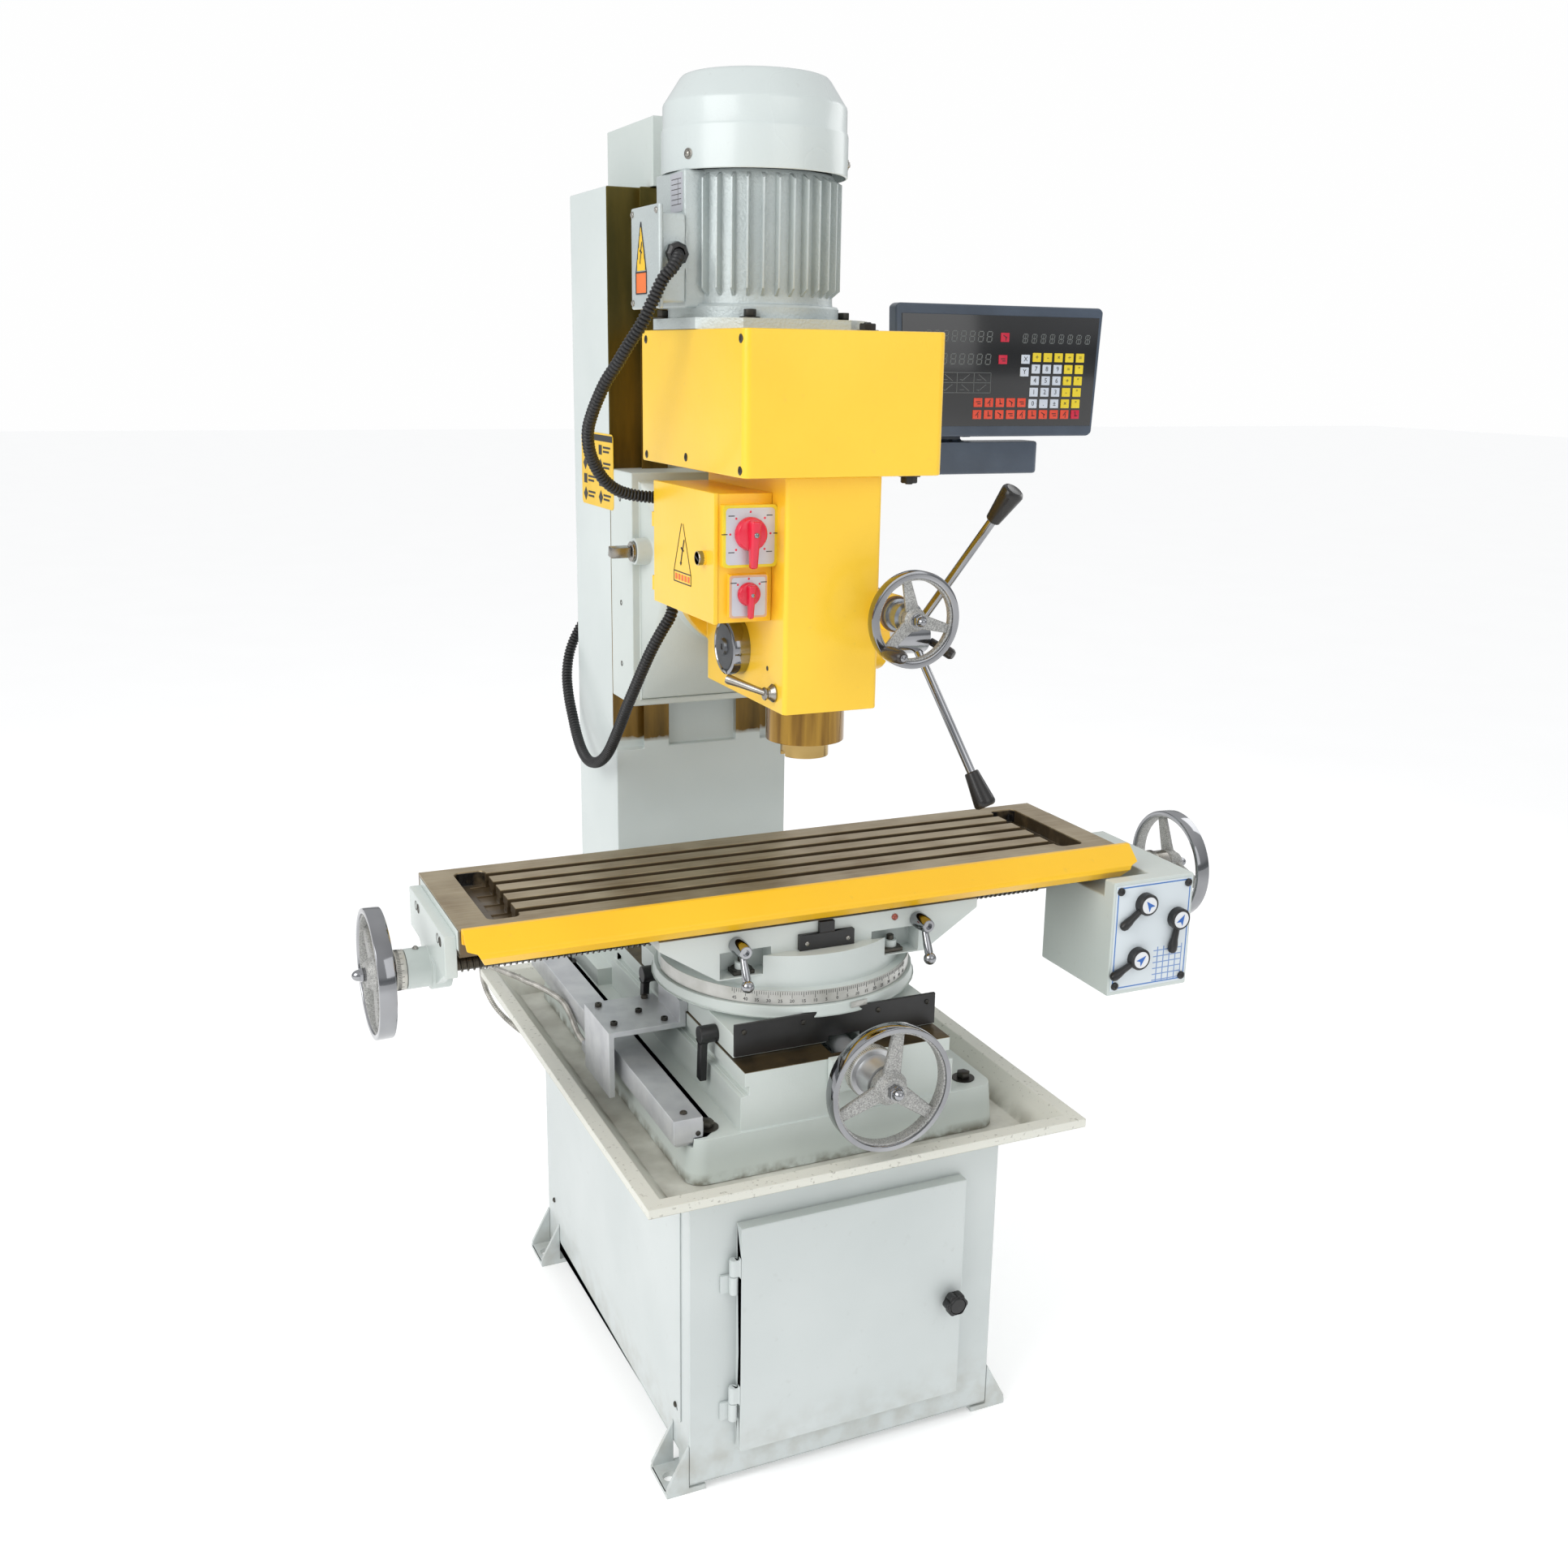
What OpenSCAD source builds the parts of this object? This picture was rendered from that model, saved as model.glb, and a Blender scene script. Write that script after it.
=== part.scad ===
/* [Table] */
// Length of the work table along X
table_len = 956; // [800:4:1000]
// Width of the work table along Y
table_w = 240; // [220:2:260]
// Number of T-slots
slot_n = 5; // [3:1:5]
// Width of a T-slot at the table surface
slot_w = 14; // [10:1:16]

/* [Stand and tray] */
// Height of the sheet cabinet up to the chip tray
stand_h = 446; // [446:1:446]
// Width of the cabinet
stand_w = 458; // [430:2:480]
// Depth of the cabinet
stand_d = 672; // [640:2:700]
// Width of the chip tray over its rim
tray_w = 624; // [600:2:700]
// Depth of the chip tray over its rim
tray_d = 836; // [800:2:900]
// Radius of a floor bolt hole
floor_hole_r = 9; // [6:0.5:10]

/* [Column] */
// Height of the column top above the floor
col_top = 1697; // [1650:1:1760]
// Width of the column
col_w = 280; // [280:2:300]

/* [Head] */
// Radius of the quill
quill_r = 52; // [48:0.5:54]
// Radius of the spindle nose
nose_r = 32; // [28:0.5:36]
// Radius of the motor fan cover
fan_r = 118; // [105:1:120]
// Length of a coarse feed bar from the hub to the end of its knob
bar_len = 262; // [180:1:264]

/* [Hand wheels] */
// Outside radius of the table and saddle hand wheels
wheel_r = 84; // [70:1:88]
// Outside radius of the fine feed hand wheel
fine_r = 60; // [50:1:62]
// Handwheel shaft radius
shaft_r = 9; // [7:0.5:10]

/* [Hidden] */
$fn = 48;
gap = 0.05;

stand_z = 12;
table_x = -5;
table_y0 = 13 - table_w;
table_top = 797;
table_z0 = 751.3;
x_axis_y = -107;
x_axis_z = 710;
y_axis_x = 11;
y_axis_z = 584;
ring_y = -105;
quill_y = -165;
pin_y = -97;
pin_z = 1098;
motor_x = -18;
motor_y = -20;
pitch_slots = 38;
door_x0 = -164;
door_x1 = 169;
door_z0 = 57;
door_z1 = 391;
hinge_x = door_x0 - 7;
hinge_y = -stand_d / 2 - 9;
arm_z0 = 1297;
arm_z1 = 1347;
dro_y = 150;
// route of the conduit from the motor terminal box to the electrical box
motor_route = [[-148, -80, 1592], [-150, -92, 1587], [-160, -99, 1574], [-172, -98, 1560],
    [-184, -92, 1533], [-196, -85, 1506], [-209, -70, 1480], [-219, -55, 1457],
    [-228, -40, 1437], [-234, -25, 1416], [-238, -10, 1395], [-239, 5, 1374],
    [-234, 18, 1350], [-223, 31, 1329], [-207, 41, 1308], [-188, 47, 1294],
    [-168, 49, 1287], [-150, 46, 1284], [-136, 39, 1283], [-127, 28, 1282], [-124, 15, 1282]];
// route of the conduit from the electrical box to the back of the column
column_route = [[-126, -6, 1146.8], [-129, -4, 1128], [-138, 6, 1106], [-147, 20, 1080],
    [-154, 38, 1050], [-160, 58, 1018], [-165, 80, 986], [-167, 104, 956],
    [-168, 132, 926], [-168, 162, 900], [-168, 194, 881], [-168, 228, 869],
    [-168, 262, 865], [-167, 296, 872], [-165, 328, 888], [-163, 356, 912],
    [-161, 384, 942], [-156, 408, 974], [-145, 424, 1008], [-128, 430, 1040],
    [-112, 424, 1064], [-102, 412, 1076], [-100, 399, 1080]];
// route of the armoured cable from the scale reader to the back of the stand
scale_route = [[-250, 38, 500], [-250, 54, 500], [-250, 72, 502], [-249, 92, 507],
    [-248, 114, 513], [-248, 138, 518], [-250, 162, 520], [-254, 188, 519],
    [-260, 214, 518], [-266, 240, 516], [-273, 266, 513], [-280, 294, 511],
    [-287, 324, 507], [-294, 354, 503], [-300, 384, 499], [-304, 410, 494],
    [-305, 430, 484], [-303, 446, 468], [-299, 454, 446], [-292, 455, 422],
    [-282, 448, 400], [-268, 434, 382], [-252, 414, 368], [-236, 394, 358],
    [-222, 374, 352], [-214, 356, 350], [-212, 338, 350]];

// ------------------------------------------------ helpers
function sub3(a, b) = [a[0] - b[0], a[1] - b[1], a[2] - b[2]];
function unit(v) = v / norm(v);
function tang(p, i) = unit(sub3(p[min(i + 1, len(p) - 1)], p[max(i - 1, 0)]));
function side(t) = unit(cross(t, abs(t[2]) > 0.9 ? [1, 0, 0] : [0, 0, 1]));
function frames(p, i) = i == 0 ? [side(tang(p, 0))]
    : let (f = frames(p, i - 1), t = tang(p, i), o = f[i - 1])
      concat(f, [unit(o - t * (o * t))]);

module tube(p, r, n) {
    f = frames(p, len(p) - 1);
    pts = [for (i = [0:len(p) - 1]) for (k = [0:n - 1])
        let (t = tang(p, i), u = f[i], v = cross(t, u), a = 360 * k / n)
        p[i] + u * (r * cos(a)) + v * (r * sin(a))];
    sides = [for (i = [0:len(p) - 2]) for (k = [0:n - 1])
        [i * n + k, i * n + (k + 1) % n, (i + 1) * n + (k + 1) % n, (i + 1) * n + k]];
    first = [for (k = [0:n - 1]) n - 1 - k];
    last = [for (k = [0:n - 1]) (len(p) - 1) * n + k];
    polyhedron(points = pts, faces = concat([first], sides, [last]), convexity = 4);
}

module box(x0, x1, y0, y1, z0, z1) {
    translate([x0, y0, z0])
        cube([x1 - x0, y1 - y0, z1 - z0]);
}

module rod_x(x0, x1, y, z, r) {
    translate([x0, y, z])
        rotate([0, 90, 0])
            cylinder(h = x1 - x0, r = r);
}

module rod_y(x, y0, y1, z, r) {
    translate([x, y0, z])
        rotate([-90, 0, 0])
            cylinder(h = y1 - y0, r = r);
}

module rod_z(x, y, z0, z1, r) {
    translate([x, y, z0])
        cylinder(h = z1 - z0, r = r);
}

module cone_z(x, y, z0, z1, r0, r1) {
    translate([x, y, z0])
        cylinder(h = z1 - z0, r1 = r0, r2 = r1);
}

// a plate with rounded corners, lying flat
module slab(x0, x1, y0, y1, z0, z1, r) {
    box(x0 + r, x1 - r, y0, y1, z0, z1);
    box(x0, x1, y0 + r, y1 - r, z0, z1);
    for (x = [x0 + r, x1 - r])
        for (y = [y0 + r, y1 - r])
            rod_z(x, y, z0, z1, r);
}

// a three-spoke hand wheel about Z with a deep flat rim, its back face on the plane z = 0
module wheel(r, rim, depth, hub_r, bore, turn) {
    difference() {
        union() {
            rotate_extrude($fn = 72)
                translate([r - rim, 0])
                    polygon([[2, 0.5], [rim - 3, 0.5], [rim, 3], [rim, depth - 3],
                        [rim - 3, depth], [2, depth], [0, depth - 5], [0, 5]]);
            cylinder(h = depth + 2, r = hub_r);
            for (a = [90, 210, 330])
                rotate([0, 0, a + turn])
                    translate([hub_r - 4, -r * 0.1, depth / 2 - 3.5])
                        cube([r - rim - hub_r + 6, r * 0.2, 7]);
        }
        translate([0, 0, -1])
            cylinder(h = depth + 4, r = bore);
    }
}

// a tapered ball lever from the origin toward -Z, hub along Y
module ball_lever(l, hub_r, ball_r) {
    rotate([90, 0, 0])
        translate([0, 0, -hub_r])
            cylinder(h = hub_r * 2, r = hub_r);
    translate([0, 0, -l])
        cylinder(h = l, r1 = ball_r * 0.5, r2 = ball_r * 0.7);
    translate([0, 0, -l])
        sphere(r = ball_r, $fn = 24);
}

// ------------------------------------------------ stand
module stand_cabinet() {
    w = stand_w / 2;
    d = stand_d / 2;
    color("gainsboro")
    difference() {
        union() {
            box(-w, w, -d, d, stand_z, stand_h);
        }
        box(-w + 3, w - 3, -d + 3, d - 3, 47, stand_h - 4);
        box(-w + 3, w - 3, -d + 3, d - 3, stand_z - 1, 44);
        box(-w - 1, w + 1, -d + 40, d - 40, stand_z - 1, 40);
        box(door_x0 + 8, door_x1 - 8, -d - 1, -d + 4, door_z0 + 8, door_z1 - 8);
        rod_x(-w - 1, -w + 4, 200, 330, 12);
        rod_y(-212, d - 4, d + 1, 350, 5);
    }
}

module foot(sx, sy) {
    w = stand_w / 2;
    d = stand_d / 2;
    scale([sx, sy, 1]) {
        difference() {
            box(w - 24, w + 32, d - 66, d, 0, 8);
            rod_z(w + 16, d - 33, -1, 9, floor_hole_r);
        }
        for (y = [d - 66, d - 6])
            translate([0, y + 6, 0])
                rotate([90, 0, 0])
                    linear_extrude(height = 6)
                        polygon([[w + 0.2, 8], [w + 31, 8], [w + 31, 14], [w + 0.2, 72]]);
    }
}

module stand_feet() {
    color("gainsboro")
    for (sx = [-1, 1])
        for (sy = [-1, 1])
            foot(sx, sy);
}

module side_panels() {
    w = stand_w / 2;
    color("gainsboro")
    for (s = [-1, 1])
        scale([s, 1, 1])
            difference() {
                box(w + 0.2, w + 2.2, -stand_d / 2 + 30, stand_d / 2 - 30, 90, 436);
                for (y = [-stand_d / 2 + 42, stand_d / 2 - 42])
                    for (z = [104, 424])
                        rod_x(w - 1, w + 4, y, z, 3);
            }
}

module door_hinges() {
    color("silver")
    for (z = [130, 320])
        difference() {
            union() {
                rod_z(hinge_x, hinge_y, z - 26, z - 0.3, 6);
                box(hinge_x - 16, hinge_x, hinge_y + 4, -stand_d / 2 - 0.2, z - 26, z - 0.3);
            }
            rod_z(hinge_x, hinge_y, z - 27, z + 1, 3.05);
        }
}

module cabinet_door() {
    y1 = -stand_d / 2 - 1;
    color("lightgray") {
        difference() {
            box(door_x0, door_x1, y1 - 17, y1, door_z0, door_z1);
            box(door_x0 + 2, door_x1 - 2, y1 - 15, y1 + 1, door_z0 + 2, door_z1 - 2);
            rod_y(150, y1 - 20, y1 + 1, 213, 5.05);
        }
        for (z = [130, 320]) {
            rod_z(hinge_x, hinge_y, z, z + 25, 6);
            rod_z(hinge_x, hinge_y, z - 24, z + 1, 3);
            box(hinge_x, door_x0 + 0.5, hinge_y - 6, hinge_y - 3, z, z + 25);
        }
    }
}

module door_knob() {
    y1 = -stand_d / 2 - 18;
    color("black") {
        for (a = [0:60:300])
            translate([150, y1 - 8, 213])
                rotate([0, a, 0])
                    translate([11, 0, 0])
                        rod_y(0, -14, 0, 0, 6);
        rod_y(150, y1 - 24, y1 - 4, 213, 12);
        rod_y(150, y1 - 5, y1 + 8, 213, 5);
        rod_y(150, y1 + 2.3, y1 + 8, 213, 9);
    }
}

module chip_tray() {
    w = tray_w / 2;
    d = tray_d / 2;
    color("ivory")
    difference() {
        union() {
            hull() {
                box(-w + 50, w - 50, -d + 50, d - 50, 446.2, 447.2);
                box(-w + 20, w - 20, -d + 20, d - 20, 483, 484);
            }
            box(-w, w, -d, d, 482, 484);
            box(-w, w, -d, d, 472, 484);
        }
        hull() {
            box(-w + 52, w - 52, -d + 52, d - 52, 449.2, 450);
            box(-w + 22, w - 22, -d + 22, d - 22, 484, 485);
        }
        difference() {
            box(-w + 2, w - 2, -d + 2, d - 2, 471, 482);
            hull() {
                box(-w + 50, w - 50, -d + 50, d - 50, 446.2, 447.2);
                box(-w + 20, w - 20, -d + 20, d - 20, 483, 484);
            }
        }
    }
}

module base_casting() {
    color("gainsboro")
    difference() {
        union() {
            hull() {
                slab(-226, 226, -331, 364, 450, 454, 24);
                slab(-221, 221, -328, 360, 508, 512, 22);
            }
            box(-155, 155, -325, 200, 490, 560);
            box(-149, 149, -325, 190, 555, 593);
            box(-150, 150, 186, 400, 490, 599.8);
            box(-175, 175, 210, 400, 490, 540);
        }
        box(y_axis_x - 32, y_axis_x + 32, -312, 180, 548, 594);
        rod_y(y_axis_x, -330, -300, y_axis_z, 14 + gap);
        box(y_axis_x - 15, y_axis_x + 15, -330, -300, y_axis_z, 594);
        for (x = [-190, 190])
            for (y = [-296, 329])
                rod_z(x, y, 500, 513, 12);
        for (x = [-1, 1])
            translate([x * 149, 0, 0])
                box(-6, 6, -330, 186, 561, 573);
        box(-250, -199.8, -319, 353, 499.9, 541);
    }
}

module y_bearing() {
    color("gainsboro")
    difference() {
        union() {
            box(y_axis_x - 44, y_axis_x + 44, -338, -325.2, y_axis_z - 36, y_axis_z + 11);
            rod_y(y_axis_x, -352, -337, y_axis_z, 30);
        }
        rod_y(y_axis_x, -353, -325, y_axis_z, shaft_r + gap);
    }
}

module y_screw() {
    color("dimgray") {
        rod_y(y_axis_x, -325, 170, y_axis_z, 14);
        rod_y(y_axis_x, -426, -324, y_axis_z, shaft_r);
    }
}

module y_wheel() {
    color("silver") {
        translate([y_axis_x, -402, y_axis_z])
            rotate([90, 0, 0])
                wheel(wheel_r, 10, 22, 20, shaft_r, -8);
        difference() {
            union() {
                rod_y(y_axis_x, -382, -353, y_axis_z, 34);
                rod_y(y_axis_x, -402, -381, y_axis_z, 26);
            }
            rod_y(y_axis_x, -403, -352, y_axis_z, shaft_r);
        }
        rod_y(y_axis_x, -446, -426, y_axis_z, 11);
    }
}

module y_scale() {
    color("silver") {
        box(-243, -203, -318, 352, 506, 540);
        for (y = [-300, 330])
            box(-238, -200, y - 12, y + 12, 500, 530);
    }
}

module scale_bracket() {
    color("silver") {
        box(-160, -150.2, -116, -30, 572, 596);
        box(-160, -147.4, -116, -30, 594, 611.8);
        box(-262, -158, -116, -4, 572, 580);
        box(-262, -254, -116, -4, 484, 573);
        box(-254.5, -243, -70, 37.8, 490, 504);
    }
}

module scale_cable() {
    color("gray")
        tube(scale_route, 4.5, 8);
}

// ------------------------------------------------ column
module column() {
    c = col_w / 2;
    color("gainsboro") {
        difference() {
            union() {
                box(-c, c, 226, 397, 600, col_top);
                translate([0, 0, 890])
                    linear_extrude(height = col_top - 890)
                        polygon([[-c, 228], [-c, 222], [-85, 222], [-97, 206], [97, 206],
                            [85, 222], [c, 222], [c, 228]]);
                box(-c, c, 206, 228, 600, 890);
            }
            box(-55, 55, 200, 218, 892, col_top + 1);
            box(-c + 12, c - 12, 238, 385, 640, col_top - 20);
            rod_y(-100, 384, 399, 1080, 8);
        }
    }
}

module column_cap() {
    color("gainsboro")
    difference() {
        box(-80, 80, 196, 398, col_top + 0.2, col_top + 92);
        box(-78, 78, 198, 396, col_top - 1, col_top + 90);
    }
}

module dro_arm() {
    color("dimgray") {
        box(col_w / 2 + 0.2, col_w / 2 + 10, 228, 330, arm_z0 - 10, arm_z1 + 10);
        box(col_w / 2 + 9, 200, 232, 282, arm_z0, arm_z1);
        box(150, 200, 160, 240, arm_z0, arm_z1);
        difference() {
            slab(152, 552, 156, 206, arm_z0, arm_z1, 12);
            rod_z(400, 181, arm_z1 - 20, arm_z1 + 1, 6);
        }
        difference() {
            box(380, 420, 176, 190, arm_z1, arm_z1 + 24);
            rod_x(379, 421, 183, arm_z1 + 16, 4.05);
        }
    }
}

module dro_display() {
    color("dimgray") {
        translate([0, dro_y + 24, 0])
            rotate([90, 0, 0])
                linear_extrude(height = 24)
                    polygon([[289, 1360], [296, 1355], [638, 1355], [645, 1360],
                        [654, 1546], [648, 1551], [290, 1551], [284, 1546]]);
        box(310, 630, dro_y + 23, dro_y + 44, 1385, 1535);
        for (x = [360, 421])
            box(x + 0.2, x + 18.8, 176, 192, arm_z1 + 6, 1395);
        rod_x(358, 442, 183, arm_z1 + 16, 4);
    }
}

// ------------------------------------------------ saddle
module saddle() {
    color("gainsboro")
    difference() {
        union() {
            box(-147, 147, -280, 80, 593.3, 626);
            cone_z(0, ring_y, 612, 636, 150, 184);
            cone_z(0, ring_y, 635.8, 650, 184, 182);
        }
        box(y_axis_x - 24, y_axis_x + 24, -281, 81, 590, 604);
        box(-147.2, 147.2, -285.2, -280, 596, 641.2);
        rod_z(0, ring_y, 600, 651, 20);
        for (y = [8, -221])
            rod_x(-148, -120, y, 606, 6 + gap);
    }
}

module wiper_plate() {
    color("black")
    difference() {
        box(-147, 147, -285, -280.2, 597, 641);
        box(y_axis_x - 24, y_axis_x + 24, -286, -280, 596, 604);
        for (x = [-134, -50, 60, 134])
            rod_y(x, -286, -279, 630, 3);
    }
}

module clamp_lever(y, a) {
    color("black") {
        rod_x(-148, -122, y, 606, 6);
        rod_x(-172, -147.2, y, 606, 12);
        translate([-166, y, 606])
            rotate([a, 0, 0])
                box(-5, 5, -7, 7, -66, 0);
    }
}

module saddle_clamp_a() {
    clamp_lever(8, 6);
}

module saddle_clamp_b() {
    clamp_lever(-221, 4);
}

// ------------------------------------------------ swivel
module upper_saddle() {
    color("gainsboro")
    difference() {
        union() {
            rod_z(0, ring_y, 650.3, 670, 176);
            rod_z(0, ring_y, 669, 714, 164);
            translate([0, 31, 0])
                rotate([90, 0, 0])
                    linear_extrude(height = 272)
                        polygon([[-233, 751], [-233, 738], [-152, 686], [152, 686], [233, 738],
                            [233, 751]]);
            rod_z(0, ring_y, 601, 651, 19.95);
        }
        rod_x(-240, 240, x_axis_y, x_axis_z, 14 + gap);
        for (x = [-114, 106])
            box(x - 36, x + 36, -242, -212, 688, 724);
        for (x = [-128, 138])
            rod_y(x, -242, -214, 734, 6.25);
    }
    color("black")
    for (x = [-114, 106])
        rod_z(x, -226, 688, 704, 9);
}

module degree_ring() {
    color("silver")
    difference() {
        rod_z(0, ring_y, 651, 669.8, 177.2);
        rod_z(0, ring_y, 650, 671, 176);
        box(-200, 200, ring_y + 20, ring_y + 200, 640, 680);
    }
}

module stop_bracket() {
    color("black") {
        box(-40, 40, -249, -241.2, 714.3, 736);
        box(-11, 11, -248, -241.2, 735, 751);
    }
}

module table_lock(x) {
    color("silver") {
        rod_y(x, -242, -218, 734, 6);
        rod_y(x, -276, -241.2, 734, 11);
        translate([x, -268, 730])
            rotate([-26, 0, 0])
                ball_lever(44, 8, 8);
    }
}

module table_lock_a() {
    table_lock(-128);
}

module table_lock_b() {
    table_lock(138);
}

// ------------------------------------------------ table
module table() {
    x0 = table_x - table_len / 2;
    x1 = table_x + table_len / 2;
    px = table_len / 2 - 62;
    color("slategray")
    difference() {
        union() {
            box(x0, x1, table_y0, 13, 765, table_top);
            box(x0 + 4, x1 - 4, table_y0 + 26, -13, table_z0, 766);
        }
        for (s = [-1, 1]) {
            translate([table_x + s * px, 0, 0])
                slab(-21, 21, table_y0 + 24, -8, 777, table_top + 1, 10);
        }
        for (i = [0:slot_n - 1])
            translate([0, ring_y + (i - (slot_n - 1) / 2) * pitch_slots, 0]) {
                box(table_x - px, table_x + px, -slot_w / 2, slot_w / 2, 777, table_top + 1);
                box(table_x - px, table_x + px, -11, 11, 775, 785);
            }
        for (x = [x0, x1])
            for (y = [-190, -60])
                rod_x(x - 12, x + 12, y, 772, 4);
    }
}

module table_guard() {
    x0 = table_x - table_len / 2 + 2;
    color("gold")
    difference() {
        translate([x0, 0, 0])
            rotate([90, 0, 90])
                linear_extrude(height = table_len + 12)
                    polygon([[-227.2, 796], [-229, 800], [-236, 800], [-262, 776], [-263, 770],
                        [-250, 757], [-247, 757], [-247, 760], [-259, 771], [-259, 775],
                        [-236, 796], [-231, 796], [-231, 770], [-227.2, 770]]);
        for (s = [0, 1])
            translate([x0 + s * (table_len + 12), 0, 0])
                rotate([90, 0, 0])
                    linear_extrude(height = 300)
                        polygon(s == 0 ? [[-1, 750], [26, 750], [12, 776], [-1, 780]]
                            : [[1, 750], [-26, 750], [-12, 776], [1, 780]]);
    }
}

module left_bracket() {
    x0 = table_x - table_len / 2;
    color("gainsboro")
    difference() {
        union() {
            box(x0 - 16, x0 - 0.2, -212, -2, 730, 785);
            rod_x(x0 - 16, x0 + 10, x_axis_y, x_axis_z, 30);
            translate([x0 - 12, 0, 0])
                rotate([90, 0, 90])
                    linear_extrude(height = 11.8)
                        polygon([[-196, 731], [-137, x_axis_z - 14], [-77, x_axis_z - 14],
                            [-18, 731]]);
            rod_x(x0 - 46, x0 - 12, x_axis_y, x_axis_z, 26);
        }
        rod_x(x0 - 50, x0 + 12, x_axis_y, x_axis_z, 10 + gap);
        for (y = [-190, -60])
            rod_x(x0 - 17, x0, y, 772, 4);
    }
}

module feed_box() {
    x1 = table_x + table_len / 2;
    color("gainsboro")
    difference() {
        union() {
            difference() {
                box(x1 - 50, x1 + 88, -294, -125, 595, 765);
                box(x1 - 52, x1 + 24, -270, -10, 740, 790);
            }
            box(x1 + 0.2, x1 + 24.2, -206, -12, 690, 786);
            box(x1 + 10, x1 + 88, -130, -70, 655, 765);
            rod_x(x1 + 80, x1 + 120, x_axis_y, x_axis_z, 26);
        }
        rod_x(x1 - 60, x1 + 130, x_axis_y, x_axis_z, 14 + gap);
        for (p = [[476, 730], [534, 701], [469, 649]])
            rod_y(p[0], -295, -280, p[1], 6 + gap);
        for (y = [-190, -60])
            rod_x(x1, x1 + 25, y, 772, 4);
    }
}

module feed_knob(x, z, a) {
    color("black") {
        rod_y(x, -295, -282, z, 6);
        rod_y(x, -308, -294.2, z, 16);
        translate([x, -301, z])
            rotate([0, a, 0]) {
                translate([0, 0, -46])
                    cylinder(h = 40, r1 = 5, r2 = 4);
                translate([0, 0, -46])
                    sphere(r = 6, $fn = 24);
            }
    }
}

module feed_knob_a() {
    feed_knob(476, 730, 52);
}

module feed_knob_b() {
    feed_knob(534, 701, 9);
}

module feed_knob_c() {
    feed_knob(469, 649, 62);
}

module x_screw() {
    x0 = table_x - table_len / 2;
    x1 = table_x + table_len / 2;
    color("dimgray") {
        rod_x(x0 + 13, x1 + 120, x_axis_y, x_axis_z, 14);
        rod_x(x0 - 94, x0 + 14, x_axis_y, x_axis_z, 10);
        rod_x(x1 + 119, x1 + 204, x_axis_y, x_axis_z, 10);
    }
}

module x_wheel_left() {
    x0 = table_x - table_len / 2;
    color("silver") {
        translate([x0 - 70, x_axis_y, x_axis_z])
            rotate([0, -90, 0])
                wheel(wheel_r, 10, 22, 20, 10, 20);
        difference() {
            union() {
                rod_x(x0 - 59, x0 - 46.3, x_axis_y, x_axis_z, 26);
                rod_x(x0 - 71, x0 - 58, x_axis_y, x_axis_z, 23);
            }
            rod_x(x0 - 72, x0 - 46, x_axis_y, x_axis_z, 10);
        }
        rod_x(x0 - 112, x0 - 94, x_axis_y, x_axis_z, 11);
    }
}

module x_wheel_right() {
    x1 = table_x + table_len / 2;
    color("silver") {
        translate([x1 + 180, x_axis_y, x_axis_z])
            rotate([0, 90, 0])
                wheel(wheel_r, 10, 22, 20, 10, -40);
        difference() {
            rod_x(x1 + 121, x1 + 181, x_axis_y, x_axis_z, 23);
            rod_x(x1 + 120, x1 + 182, x_axis_y, x_axis_z, 10);
        }
        rod_x(x1 + 204, x1 + 222, x_axis_y, x_axis_z, 11);
    }
}

// ------------------------------------------------ head
module z_carriage() {
    color("gainsboro")
    difference() {
        union() {
            translate([0, 0, 975])
                linear_extrude(height = 335)
                    polygon([[-140, 125], [140, 125], [140, 221.7], [85.8, 221.7], [97.5, 205.7],
                        [-97.5, 205.7], [-85.8, 221.7], [-140, 221.7]]);
            hull() {
                box(-128, 128, 124, 126, 985, 1296);
                rod_y(0, 62, 64, 1180, 112);
            }
            rod_y(0, 38.2, 64, 1180, 112);
            rod_x(-141, -90, 110, 1202, 19);
        }
        rod_x(-150, -80, 110, 1202, shaft_r + gap);
    }
}

module z_crank() {
    color("silver") {
        rod_x(-150, -82, 110, 1202, shaft_r);
        rod_x(-148, -141.2, 110, 1202, 14);
        box(-178, -149, 102, 118, 1194, 1210);
    }
}

module head_lower() {
    color("gold")
    difference() {
        union() {
            rod_y(0, 18.4, 38, 1180, 112);
            box(-66, 66, -236, 20, 1032, 1328.8);
            box(-60, 60, -242, -230, 1032, 1328.8);
            for (x = [-60, 60])
                rod_z(x, -236, 1032, 1328.8, 6);
        }
        rod_z(0, quill_y, 1000, 1335, quill_r + gap);
        rod_x(-92, 160, pin_y, pin_z, 10 + gap);
        rod_x(-60, 60, pin_y, pin_z, 17.5);
        rod_x(-70, -52, -212, 1056, 6 + gap);
    }
}

module head_box() {
    color("gold")
    difference() {
        slab(-131, 139, -262, 108, 1329, 1502, 10);
        box(-119, 127, -250, 96, 1341, 1490);
        rod_z(0, quill_y, 1320, 1345, quill_r + gap);
    }
}

module elec_box() {
    color("gold")
    difference() {
        union() {
            box(-139, -66.2, -200, 18, 1147, 1307);
            box(-136, -70, -214, -199, 1218, 1294);
            box(-125, -75, -210, -199, 1155, 1208);
        }
        box(-140, -69, -197, 15, 1150, 1304);
        rod_y(-102, -220, -195, 1259, 5 + gap);
        rod_y(-102, -220, -195, 1184, 4 + gap);
        rod_y(-124, 14, 19, 1282, 9);
        rod_z(-126, -6, 1146, 1151, 9);
    }
}

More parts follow.
